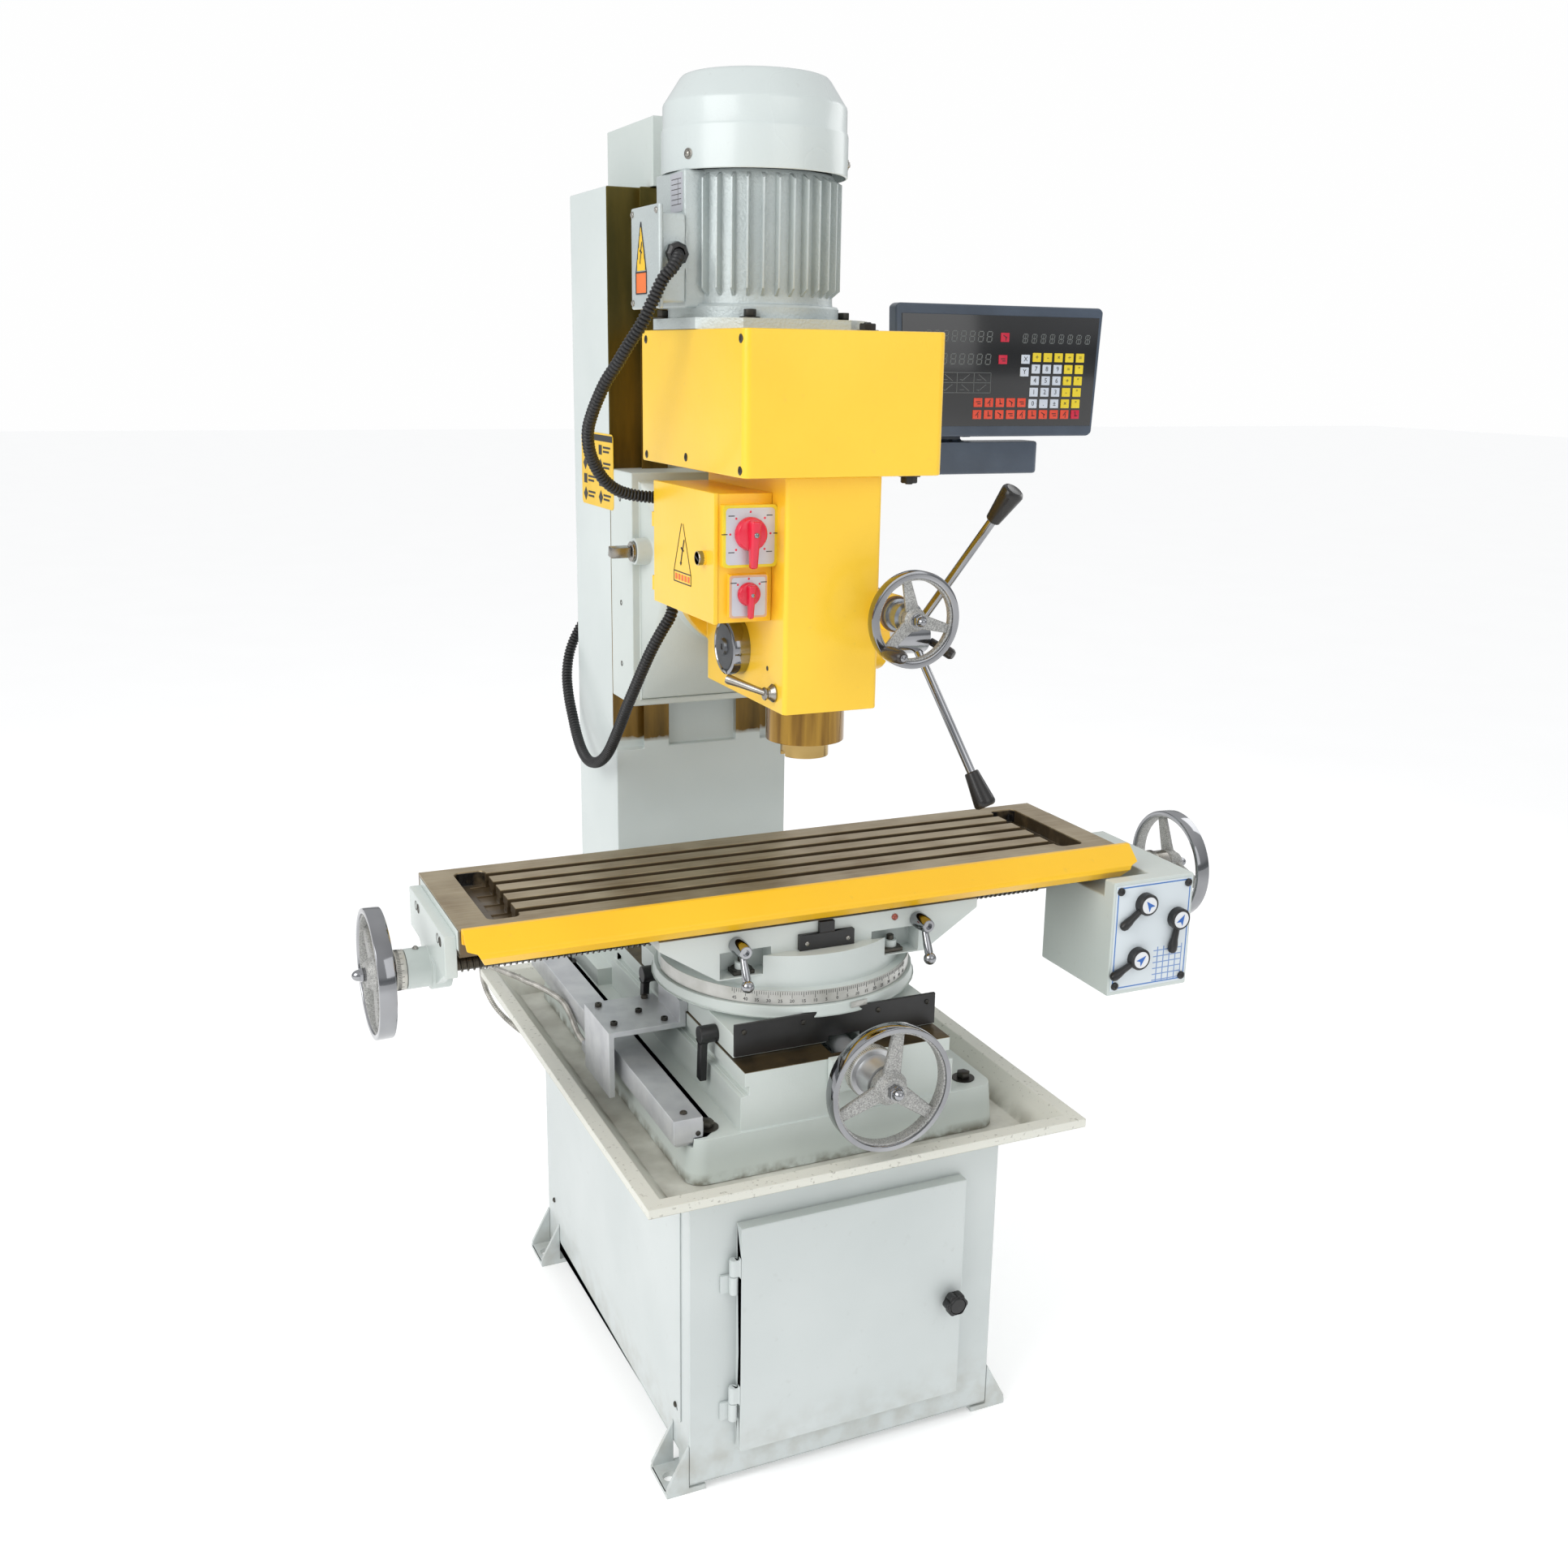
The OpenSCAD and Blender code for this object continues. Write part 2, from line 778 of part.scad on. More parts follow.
module elec_door() {
    color("yellow") {
        difference() {
            box(-145, -139.3, -202, 18, 1146, 1308);
            box(-143, -139, -199, 15, 1149, 1305);
        }
        rod_x(-156, -144, -172, 1226, 9);
        for (z = [1160, 1246])
            rod_z(-142, 22, z, z + 20, 4);
        for (z = [1160, 1246])
            box(-145, -142, 17, 22, z, z + 20);
    }
}

module switch_main() {
    color("red") {
        rod_y(-102, -216, -198, 1259, 5);
        rod_y(-102, -224, -214.2, 1259, 21);
        box(-108, -96, -238, -223, 1216, 1276);
    }
}

module switch_aux() {
    color("red") {
        rod_y(-102, -212, -198, 1184, 4);
        rod_y(-102, -220, -210.2, 1184, 15);
        box(-107, -97, -232, -219, 1153, 1196);
    }
}

module motor_body() {
    color("silver") {
        slab(motor_x - 113, motor_x + 127, motor_y - 127, motor_y + 120, 1502.2, 1516, 30);
        rod_z(motor_x, motor_y, 1515, 1534, 112);
        rod_z(motor_x, motor_y, 1533, 1694, 104);
        for (i = [0:35])
            rotate_about(motor_x, motor_y, i * 10)
                box(100, 115, -1.6, 1.6, 1540, 1690);
        box(motor_x - 116, motor_x - 60, motor_y - 52, motor_y + 52, 1528, 1692);
    }
}

module rotate_about(x, y, a) {
    translate([x, y, 0])
        rotate([0, 0, a])
            children();
}

module fan_cover() {
    color("gainsboro")
    difference() {
        union() {
            rod_z(motor_x, motor_y, 1692, 1746, fan_r + 2);
            rod_z(motor_x, motor_y, 1745, 1776, fan_r);
            cone_z(motor_x, motor_y, 1775.8, 1811, fan_r, fan_r - 24);
        }
        rod_z(motor_x, motor_y, 1691, 1774, fan_r - 2);
        rod_z(motor_x, motor_y, 1700, 1812, 40);
    }
    color("gainsboro")
    for (a = [0:45:135])
        rotate_about(motor_x, motor_y, a)
            box(-42, 42, -2, 2, 1804, 1808);
}

module terminal_box() {
    color("gainsboro")
    difference() {
        union() {
            box(-166, motor_x - 116.2, -76, 16, 1534, 1640);
            box(-172, -165.8, -84, 22, 1526, 1650);
            rod_y(-148, -80, -75, 1592, 14);
        }
        rod_y(-148, -81, -70, 1592, 9);
    }
}

module motor_conduit() {
    color("black")
        tube(motor_route, 8.5, 10);
}

module column_conduit() {
    color("black")
        tube(column_route, 8.5, 10);
}

module spring_drum() {
    color("silver")
    difference() {
        union() {
            rod_x(-92, -66.2, pin_y, pin_z, 38);
            rod_x(-96, -91, pin_y, pin_z, 18);
        }
        rod_x(-97, -66, pin_y, pin_z, 10 + gap);
    }
}

module feed_housing() {
    color("gold")
    difference() {
        union() {
            rod_y(78, -262, -60, 1158, 24);
            rod_x(66.2, 138, pin_y, pin_z, 44);
            box(66.2, 100, -130, -64, 1100, 1156);
        }
        box(50, 66.2, -263, -59, 1130, 1190);
        rod_x(60, 140, pin_y, pin_z, 10 + gap);
        rod_y(78, -263, -240, 1158, shaft_r + gap);
    }
}

module star_handle() {
    color("silver") {
        rod_x(138.4, 158, pin_y, pin_z, 32);
        rod_x(157, 212, pin_y, pin_z, 26);
        rod_x(-90, 139, pin_y, pin_z, 10);
        rod_x(-30, 30, pin_y, pin_z, 15.8);
    }
    for (i = [0:2])
        translate([193, pin_y, pin_z])
            rotate([34 + i * 120, 0, 0])
                rotate([0, 15, 0]) {
                    color("silver")
                        translate([0, 0, 14])
                            cylinder(h = bar_len - 60, r = 6);
                    color("black")
                        translate([0, 0, bar_len - 48])
                            cylinder(h = 48, r1 = 10, r2 = 15);
                }
    color("black")
    translate([206, pin_y, pin_z])
        rotate([118, 0, 0])
            rotate([0, 30, 0])
                translate([0, 0, 20])
                    cylinder(h = 40, r = 7.5);
}

module fine_wheel() {
    color("silver") {
        translate([78, -304, 1158])
            rotate([90, 0, 0])
                wheel(fine_r, 8, 18, 15, shaft_r - 2, 14);
        rod_y(78, -324, -242, 1158, shaft_r);
        rod_y(78, -305, -263, 1158, 17);
        rod_y(78, -340, -324, 1158, 9);
    }
    color("black")
    translate([78 - 42, -364, 1158 - 36])
        rotate([-90, 0, 0])
            cylinder(h = 44, r1 = 9, r2 = 7);
}

module quill_lock() {
    color("dimgray") {
        rod_x(-67, -54, -212, 1056, 6);
        rod_x(-80, -66.2, -212, 1056, 9);
        translate([-76, -212, 1056])
            rotate([0, 0, 45])
                rotate([-75, 0, 0])
                    translate([0, 0, 4])
                        cylinder(h = 54, r1 = 4.5, r2 = 6);
    }
}

module quill() {
    color("silver")
    difference() {
        rod_z(0, quill_y, 982, 1280, quill_r);
        rod_z(0, quill_y, 981, 1281, 24 + gap);
        rod_z(0, quill_y, 981, 990, 40);
        box(-8, 8, quill_y + 45, quill_y + 60, 1020, 1285);
    }
}

module spindle() {
    color("silver")
    difference() {
        union() {
            rod_z(0, quill_y, 960, 988, nose_r);
            rod_z(0, quill_y, 987, 1310, 24);
        }
        cone_z(0, quill_y, 959.8, 1040, 15.8, 12);
        rod_z(0, quill_y, 1030, 1311, 9);
        box(-50, 50, quill_y - 6.4, quill_y + 6.4, 959, 967);
    }
}

// ------------------------------------------------ output
stand_cabinet();
stand_feet();
side_panels();
chip_tray();
base_casting();
column();
column_cap();
dro_arm();
y_bearing();
y_scale();
column_conduit();
scale_cable();
door_hinges();
cabinet_door();
door_knob();
saddle();
wiper_plate();
scale_bracket();
saddle_clamp_a();
saddle_clamp_b();
upper_saddle();
degree_ring();
stop_bracket();
table_lock_a();
table_lock_b();
table();
table_guard();
left_bracket();
feed_box();
feed_knob_a();
feed_knob_b();
feed_knob_c();
x_screw();
x_wheel_left();
x_wheel_right();
y_screw();
y_wheel();
z_carriage();
head_lower();
head_box();
elec_box();
elec_door();
motor_body();
fan_cover();
terminal_box();
motor_conduit();
spring_drum();
feed_housing();
switch_main();
switch_aux();
quill();
spindle();
star_handle();
fine_wheel();
quill_lock();
z_crank();
dro_display();
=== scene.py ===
from math import cos, pi, radians, sin

import bmesh
import bpy
from mathutils import Matrix, Vector


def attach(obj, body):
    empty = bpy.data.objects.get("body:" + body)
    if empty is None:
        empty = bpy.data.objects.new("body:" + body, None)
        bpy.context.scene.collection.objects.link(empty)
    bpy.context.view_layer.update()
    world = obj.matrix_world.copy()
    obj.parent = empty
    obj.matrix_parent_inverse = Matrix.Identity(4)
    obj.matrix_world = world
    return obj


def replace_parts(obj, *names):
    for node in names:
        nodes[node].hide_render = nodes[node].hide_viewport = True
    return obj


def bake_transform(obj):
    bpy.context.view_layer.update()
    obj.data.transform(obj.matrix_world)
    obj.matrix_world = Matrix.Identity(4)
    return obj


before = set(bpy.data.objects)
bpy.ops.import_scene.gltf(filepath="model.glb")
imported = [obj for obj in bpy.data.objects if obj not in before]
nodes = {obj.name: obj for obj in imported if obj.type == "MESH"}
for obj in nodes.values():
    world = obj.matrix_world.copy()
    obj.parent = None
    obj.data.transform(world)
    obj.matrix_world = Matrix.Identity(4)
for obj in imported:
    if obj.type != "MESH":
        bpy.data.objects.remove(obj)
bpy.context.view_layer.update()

# ------------------------------------------------------------------ camera
# The eye stands a little to the left of the machine, above the table and
# looking slightly down, through a moderately long lens.
eye = Vector((-0.869, -2.025, 1.469))
yaw, pitch, roll = radians(24.31), radians(15.04), radians(0.87)
ahead = Vector((sin(yaw) * cos(pitch), cos(yaw) * cos(pitch), -sin(pitch)))
level = Vector((cos(yaw), -sin(yaw), 0))
upward = level.cross(ahead)
across = level * cos(roll) + upward * sin(roll)
upright = upward * cos(roll) - level * sin(roll)
camera_data = bpy.data.cameras.new("camera")
camera_data.sensor_width = 36
camera_data.lens = 36 * 1955 / 1932
camera_data.clip_end = 60
camera = bpy.data.objects.new("camera", camera_data)
turned = Matrix((across, upright, -ahead)).transposed().to_4x4()
camera.matrix_world = Matrix.Translation(eye) @ turned
bpy.context.scene.collection.objects.link(camera)
bpy.context.scene.camera = camera


# ------------------------------------------------- conduit, motor to switches
# Corrugated black nylon conduit from the gland on the motor's terminal box,
# out in a wide bow and into the back of the electrical box. Snapped into
# glands at both ends. Its finish and its way of making serve all flex here.
class Tone:
    """A value in a shader, on which sums can be written."""

    def __init__(self, tree, socket):
        self.tree = tree
        self.socket = socket

    def node(self, kind, settings=None, sockets=None, output=0):
        made = self.tree.nodes.new(kind)
        for name, setting in (settings or {}).items():
            if name == "stops":
                ramp = made.color_ramp
                while len(ramp.elements) < len(setting):
                    ramp.elements.new(0.5)
                for element, (place, shade) in zip(ramp.elements, setting):
                    element.position = place
                    element.color = shade
            else:
                setattr(made, name, setting)
        for name, given in (sockets or {}).items():
            if isinstance(given, Tone):
                self.tree.links.new(given.socket, made.inputs[name])
            else:
                made.inputs[name].default_value = given
        return Tone(self.tree, made.outputs[output])

    def math(self, operation, *given):
        return self.node("ShaderNodeMath", {"operation": operation}, dict(enumerate(given)))

    def __abs__(self):
        return self.math("ABSOLUTE", self)

    def fraction(self):
        return self.math("FRACT", self)

    def __add__(self, other):
        return self.math("ADD", self, other)

    def __radd__(self, other):
        return self.math("ADD", other, self)

    def __sub__(self, other):
        return self.math("SUBTRACT", self, other)

    def __rsub__(self, other):
        return self.math("SUBTRACT", other, self)

    def __mul__(self, other):
        return self.math("MULTIPLY", self, other)

    def __rmul__(self, other):
        return self.math("MULTIPLY", other, self)

    def over(self, low, high):
        """0 below low, 1 above high, and even in between."""
        return self.node("ShaderNodeMapRange", {}, {0: self, 1: low, 2: high})

    def noise(self, size, detail=2.0, stretch=(1, 1, 1)):
        """Cloudy variation with patches of about size metres, drawn out along an axis."""
        laid = self.node("ShaderNodeMapping", {}, {"Vector": self, "Scale": stretch})
        return self.node("ShaderNodeTexNoise", {},
                         {"Vector": laid, "Scale": 1 / size, "Detail": detail})

    def part(self, axis):
        return self.node("ShaderNodeSeparateXYZ", {}, {0: self}, axis)

    def mix(self, first, second):
        """first where this value is 0, second where it is 1; both are colours."""
        return self.node("ShaderNodeMix", {"data_type": "RGBA"},
                         {0: self, 6: first, 7: second}, 2)

    def bump(self, distance, strength=1.0):
        return self.node("ShaderNodeBump", {},
                         {"Height": self, "Distance": distance, "Strength": strength})

    def to(self, shader, socket):
        self.tree.links.new(self.socket, shader.inputs[socket])


def finish(name, **fixed):
    """A new finish: the material, its shader and the place on the object."""
    material = bpy.data.materials.new(name)
    material.use_nodes = True
    tree = material.node_tree
    shader = tree.nodes["Principled BSDF"]
    for socket, amount in fixed.items():
        shader.inputs[socket.replace("_", " ")].default_value = amount
    place = Tone(tree, tree.nodes.new("ShaderNodeTexCoord").outputs["Object"])
    return material, shader, place


def colour(red, green, blue):
    """A colour from its numbers on a 0 to 255 screen scale."""
    return tuple(((c / 255 + 0.055) / 1.055) ** 2.4 if c > 10 else c / 255 / 12.92
                 for c in (red, green, blue)) + (1,)


def plain_finish(name, shade, worn, rough, grain, bump, metal=0.0, coat=0.0):
    """A moulded or machined surface: two near tones in cloudy patches and a fine grain."""
    material, shader, place = finish(name, Metallic=metal, Coat_Weight=coat,
                                     Coat_Roughness=0.12)
    cloud = place.noise(grain * 30, 3)
    fine = place.noise(grain, 2)
    cloud.over(0.35, 0.7).mix(shade, worn).to(shader, "Base Color")
    (rough * 0.8 + cloud * (rough * 0.4)).to(shader, "Roughness")
    fine.bump(bump).to(shader, "Normal")
    return material


def settle(shape, name, body, material, crease=32, scale=0.001):
    """Turns a shape drawn in millimetres into a finished piece that rides on a body."""
    bmesh.ops.remove_doubles(shape, verts=shape.verts, dist=0.002)
    bmesh.ops.scale(shape, vec=(scale, scale, scale), verts=shape.verts)
    bmesh.ops.recalc_face_normals(shape, faces=shape.faces)
    for face in shape.faces:
        face.smooth = True
    for edge in shape.edges:
        edge.smooth = edge.calc_face_angle(0) < radians(crease)
    data = bpy.data.meshes.new(name)
    shape.to_mesh(data)
    shape.free()
    data.materials.append(material)
    piece = bpy.data.objects.new(name, data)
    bpy.context.scene.collection.objects.link(piece)
    if body:
        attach(piece, body)
    return piece


def smooth_route(corners, step):
    """Evenly spaced points, step apart, on the smooth curve through the corners."""
    ends = [corners[0] * 2 - corners[1]] + corners + [corners[-1] * 2 - corners[-2]]
    fine = []
    for a, b, c, d in zip(ends, ends[1:], ends[2:], ends[3:]):
        for k in range(24):
            t = k / 24
            fine.append(((b * 2) + (c - a) * t + (a * 2 - b * 5 + c * 4 - d) * t * t
                         + (b * 3 - a - c * 3 + d) * t ** 3) / 2)
    fine.append(corners[-1])
    total = sum((q - p).length for p, q in zip(fine, fine[1:]))
    count = round(total / step)
    stride, along, evenly = total / count, 0, [fine[0]]
    for p, q in zip(fine, fine[1:]):
        span = (q - p).length
        while along + span >= stride * len(evenly) and len(evenly) < count:
            evenly.append(p.lerp(q, (stride * len(evenly) - along) / span))
        along += span
    return evenly + [fine[-1]], total


def flexible_tube(corners, ring, inner, outer, pitch, sides=20):
    """A corrugated tube: a ring drawn along the route, in turn wide and narrow."""
    route, length = smooth_route([Vector(c) for c in corners], pitch / 4)
    shape = bmesh.new()
    heading = route[1] - route[0]
    start = heading.to_track_quat("Z", "Y").to_matrix().to_4x4()
    verts = bmesh.ops.create_circle(shape, segments=sides, radius=inner, cap_ends=True,
                                    matrix=Matrix.Translation(route[0]) @ start)["verts"]
    radius = inner
    loop = list(verts[0].link_faces[0].edges)
    for k in range(1, len(route)):
        before, after = route[k - 1], route[min(k + 1, len(route) - 1)]
        new_heading = after - before
        swing = heading.rotation_difference(new_heading)
        wanted = ring[k % 4] * (outer - inner) + inner
        if k == len(route) - 1:
            wanted = inner
        made = bmesh.ops.extrude_edge_only(shape, edges=loop)["geom"]
        verts = [g for g in made if isinstance(g, bmesh.types.BMVert)]
        loop = [g for g in made if isinstance(g, bmesh.types.BMEdge)
                and all(v in verts for v in g.verts)]
        move = (Matrix.Translation(route[k]) @ swing.to_matrix().to_4x4()
                @ Matrix.Scale(wanted / radius, 4) @ Matrix.Translation(-route[k - 1]))
        bmesh.ops.transform(shape, matrix=move, verts=verts)
        heading, radius = new_heading, wanted
    bmesh.ops.contextual_create(shape, geom=loop)
    return shape, route, length


conduit_black = plain_finish("conduit_black", colour(20, 20, 21), colour(36, 36, 37),
                             0.42, 0.0012, 0.0001)
motor_route = [
    (-148, -80, 1592), (-150, -92, 1587), (-160, -99, 1574), (-172, -98, 1560),
    (-184, -92, 1533), (-196, -85, 1506), (-209, -70, 1480), (-219, -55, 1457),
    (-228, -40, 1437), (-234, -25, 1416), (-238, -10, 1395), (-239, 5, 1374),
    (-234, 18, 1350), (-223, 31, 1329), (-207, 41, 1308), (-188, 47, 1294),
    (-168, 49, 1287), (-150, 46, 1284), (-136, 39, 1283), (-127, 28, 1282),
    (-124, 15, 1282)]
ridged = (0, 0.75, 1, 0.75)
tube, tube_route, tube_length = flexible_tube(motor_route, ridged, 6.4, 8.5, 5.2)
motor_flex = settle(tube, "motor_flex", "head", conduit_black, 60)
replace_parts(motor_flex, "motor_conduit")
tube_length / 1000
[p / 1000 for p in tube_route]

# ----------------------------------------------- conduit, switches to column
# The same conduit from under the electrical box, hanging in one deep loop to
# the hole in the column's back.
column_route = [
    (-126, -6, 1146.8), (-129, -4, 1128), (-138, 6, 1106), (-147, 20, 1080),
    (-154, 38, 1050), (-160, 58, 1018), (-165, 80, 986), (-167, 104, 956),
    (-168, 132, 926), (-168, 162, 900), (-168, 194, 881), (-168, 228, 869),
    (-168, 262, 865), (-167, 296, 872), (-165, 328, 888), (-163, 356, 912),
    (-161, 384, 942), (-156, 408, 974), (-145, 424, 1008), (-128, 430, 1040),
    (-112, 424, 1064), (-102, 412, 1076), (-100, 399, 1080)]
tube, tube_route, tube_length = flexible_tube(column_route, ridged, 6.4, 8.5, 5.2)
column_flex = settle(tube, "column_flex", None, conduit_black, 60)
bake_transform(column_flex)
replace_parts(column_flex, "column_conduit")
tube_length / 1000
[p / 1000 for p in tube_route]

# ------------------------------------------------------ cable of the scale
# Thin cable in a wound steel armour from the reader of the glass scale, over
# the tray's rear rim and into the back of the stand.
armour, shader, place = finish("steel_armour", Metallic=0.85)
cloud = place.noise(0.02)
cloud.over(0.3, 0.7).mix(colour(150, 148, 142), colour(196, 193, 186)).to(shader, "Base Color")
(0.28 + cloud * 0.2).to(shader, "Roughness")
place.noise(0.001).bump(0.0001).to(shader, "Normal")
scale_route = [
    (-250, 38, 500), (-250, 54, 500), (-250, 72, 502), (-249, 92, 507),
    (-248, 114, 513), (-248, 138, 518), (-250, 162, 520), (-254, 188, 519),
    (-260, 214, 518), (-266, 240, 516), (-273, 266, 513), (-280, 294, 511),
    (-287, 324, 507), (-294, 354, 503), (-300, 384, 499), (-304, 410, 494),
    (-305, 430, 484), (-303, 446, 468), (-299, 454, 446), (-292, 455, 422),
    (-282, 448, 400), (-268, 434, 382), (-252, 414, 368), (-236, 394, 358),
    (-222, 374, 352), (-214, 356, 350), (-212, 338, 350)]
tube, tube_route, tube_length = flexible_tube(scale_route, ridged, 3.6, 4.5, 3.4, 14)
scale_lead = settle(tube, "scale_lead", None, armour, 60)
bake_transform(scale_lead)
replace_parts(scale_lead, "scale_cable")
tube_length / 1000
[p / 1000 for p in tube_route]

# ------------------------------------------------------------ floor and light
# A plain pale floor, a pale room, one wide window light from the left and
# front, and a weaker one from the right.
floor_data = bmesh.new()
bmesh.ops.create_grid(floor_data, x_segments=1, y_segments=1, size=30)
floor_mesh = bpy.data.meshes.new("floor")
floor_data.to_mesh(floor_mesh)
floor_data.free()
floor_piece = bpy.data.objects.new("floor", floor_mesh)
bpy.context.scene.collection.objects.link(floor_piece)
pale, shader, place = finish("pale_floor", Roughness=0.9, Specular_IOR_Level=0.0,
                             Emission_Color=(1, 1, 1, 1), Emission_Strength=0.28)
place.noise(0.4).mix((0.90, 0.90, 0.90, 1), (0.93, 0.93, 0.93, 1)).to(shader, "Base Color")
floor_mesh.materials.append(pale)

room = bpy.data.worlds.new("room")
bpy.context.scene.world = room
room.use_nodes = True
air = room.node_tree
height = Tone(air, air.nodes.new("ShaderNodeTexCoord").outputs["Generated"]).part("Z")
around = height.node("ShaderNodeValToRGB", {"stops": [
    (0.0, (0.42, 0.43, 0.44, 1)), (0.10, (0.30, 0.31, 0.32, 1)),
    (0.22, (0.62, 0.63, 0.64, 1)), (0.5, (0.78, 0.79, 0.80, 1)),
    (1.0, (0.90, 0.90, 0.90, 1))]}, {0: height})
seen = height.node("ShaderNodeLightPath", {}, {})
seen.mix(around, (1.08, 1.08, 1.08, 1)).to(air.nodes["Background"], "Color")
air.nodes["Background"].inputs["Strength"].default_value = 0.92
for lamp_name, at, target, size, power in (
        ("window", (-2.9, -1.2, 2.6), (0, 0, 0.95), 2.4, 62),
        ("front", (0.9, -3.3, 2.4), (0, -0.1, 0.9), 2.2, 16),
        ("right", (2.8, 0.6, 2.4), (0.1, 0, 1.0), 1.6, 14)):
    lamp_data = bpy.data.lights.new(lamp_name, "AREA")
    lamp_data.shape = "SQUARE"
    lamp_data.size = size
    lamp_data.energy = power
    lamp = bpy.data.objects.new(lamp_name, lamp_data)
    lamp.location = at
    lamp.rotation_euler = (Vector(target) - Vector(at)).to_track_quat("-Z", "Y").to_euler()
    bpy.context.scene.collection.objects.link(lamp)
bpy.context.scene.view_settings.view_transform = "Standard"


# ------------------------------------------------------------------ stand
# Folded and welded sheet steel cabinet on four gusseted feet, with screwed
# side panels, sprayed pale grey. Its edges carry the bending radius.
def painted(name, main, shade, rough, peel, peel_depth, soil=0.0, soil_top=0.0):
    """Sprayed enamel: slight drift of tone, orange peel, and dirt low down."""
    material, shader, place = finish(name, Coat_Weight=0.25, Coat_Roughness=0.15)
    drift = place.noise(0.22, 3)
    body = drift.over(0.3, 0.72).mix(main, shade)
    speck = place.noise(0.012, 4).over(0.66, 0.82)
    body = (speck * 0.12).mix(body, colour(120, 112, 92))
    if soil:
        low = 1 - place.part("Z").over(soil_top - 0.06, soil_top + 0.02)
        smear = place.noise(0.03, 5).over(0.38, 0.75) * low * soil
        body = smear.mix(body, colour(134, 122, 96))
    body.to(shader, "Base Color")
    (rough + drift * 0.12).to(shader, "Roughness")
    (place.noise(peel, 2) + place.noise(peel * 7, 2) * 2).bump(peel_depth).to(shader, "Normal")
    return material


def softened(node, body, material, width, steps=2, angle=28, seam=1e-5):
    """A copy of a CAD node with its hard edges rounded, which stands for the node."""
    shape = bmesh.new()
    shape.from_mesh(nodes[node].data)
    bmesh.ops.remove_doubles(shape, verts=shape.verts, dist=seam)
    bmesh.ops.dissolve_limit(shape, angle_limit=radians(0.6), verts=shape.verts,
                             edges=shape.edges)
    sharp = [e for e in shape.edges
             if e.is_manifold and e.calc_face_angle(0) > radians(angle)]
    bmesh.ops.bevel(shape, geom=sharp, offset=width / 1000, offset_type="OFFSET",
                    segments=steps, profile=0.5, affect="EDGES", material=-1,
                    clamp_overlap=False)
    for face in shape.faces:
        face.smooth = True
    for edge in shape.edges:
        edge.smooth = edge.calc_face_angle(0) < radians(38)
    data = bpy.data.meshes.new(node + "_shell")
    shape.to_mesh(data)
    shape.free()
    data.materials.append(material)
    piece = bpy.data.objects.new(node + "_shell", data)
    bpy.context.scene.collection.objects.link(piece)
    even = piece.modifiers.new("even_shading", "WEIGHTED_NORMAL")
    even.keep_sharp = True
    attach(piece, body)
    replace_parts(piece, node)
    return piece


stand_grey = painted("stand_enamel", colour(205, 211, 210), colour(196, 203, 202),
                     0.36, 0.0016, 0.00005, 0.35, 0.10)
softened("stand_cabinet", "stand", stand_grey, 3)
softened("stand_feet", "stand", stand_grey, 1.2)
softened("side_panels", "stand", stand_grey, 0.7)
softened("cabinet_door", "stand_door", stand_grey, 2.2)
softened("door_hinges", "stand", stand_grey, 0.8)


def turned_part(shape, profile, place, steps=32):
    """A turned solid: a profile of (height, radius) pairs spun about the place's Z."""
    last = None
    edges = []
    for height, radius in profile:
        vert = shape.verts.new((radius, 0, height))
        if last:
            edges.append(shape.edges.new((last, vert)))
        last = vert
    verts = {v for e in edges for v in e.verts}
    made = bmesh.ops.spin(shape, geom=list(verts) + edges, cent=(0, 0, 0), axis=(0, 0, 1),
                          angle=2 * pi, steps=steps, use_merge=True)
    verts |= {g for g in made["geom_last"] if isinstance(g, bmesh.types.BMVert)}
    fresh = set(verts)
    edge_of = list(verts)
    while edge_of:
        v = edge_of.pop()
        for e in v.link_edges:
            w = e.other_vert(v)
            if w not in fresh:
                fresh.add(w)
                edge_of.append(w)
    bmesh.ops.remove_doubles(shape, verts=list(fresh), dist=0.001)
    bmesh.ops.transform(shape, matrix=place, verts=[v for v in fresh if v.is_valid])


def facing(at, axis, turn=0.0):
    """The place at a point, with Z along the axis."""
    return (Matrix.Translation(at) @ Vector(axis).to_track_quat("Z", "Y").to_matrix().to_4x4()
            @ Matrix.Rotation(radians(turn), 4, "Z"))


def turned_piece(name, body, material, profile, place, steps=32):
    """A turned part on its own, finished and riding on a body."""
    shape = bmesh.new()
    turned_part(shape, profile, place, steps)
    return settle(shape, name, body, material)


def pan_screw(shape, at, axis, size):
    """A pan head screw with a slotted crown, standing on a surface."""
    turned_part(shape, [(0, 0), (0, size), (size * 0.35, size * 0.96),
                        (size * 0.6, size * 0.7), (size * 0.7, size * 0.32),
                        (size * 0.5, size * 0.2), (size * 0.45, 0)], facing(at, axis), 16)


screw_steel = plain_finish("blackened_screw", colour(58, 57, 54), colour(92, 88, 80),
                           0.4, 0.002, 0.00004, metal=0.8)
screws = bmesh.new()
for side_x, out in ((-231.2, -1), (231.2, 1)):
    for y in (-290, 290):
        for z in (108, 420):
            pan_screw(screws, (side_x, y, z), (out, 0, 0), 4.2)
settle(screws, "panel_screws", "stand", screw_steel)

# ------------------------------------------------------- cabinet door knob
# A six-lobed black plastic hand knob on a threaded stud.
knob_black = plain_finish("moulded_black", colour(24, 24, 25), colour(38, 38, 38),
                          0.34, 0.0015, 0.00005)
softened("door_knob", "door_latch", knob_black, 2.2, 3)

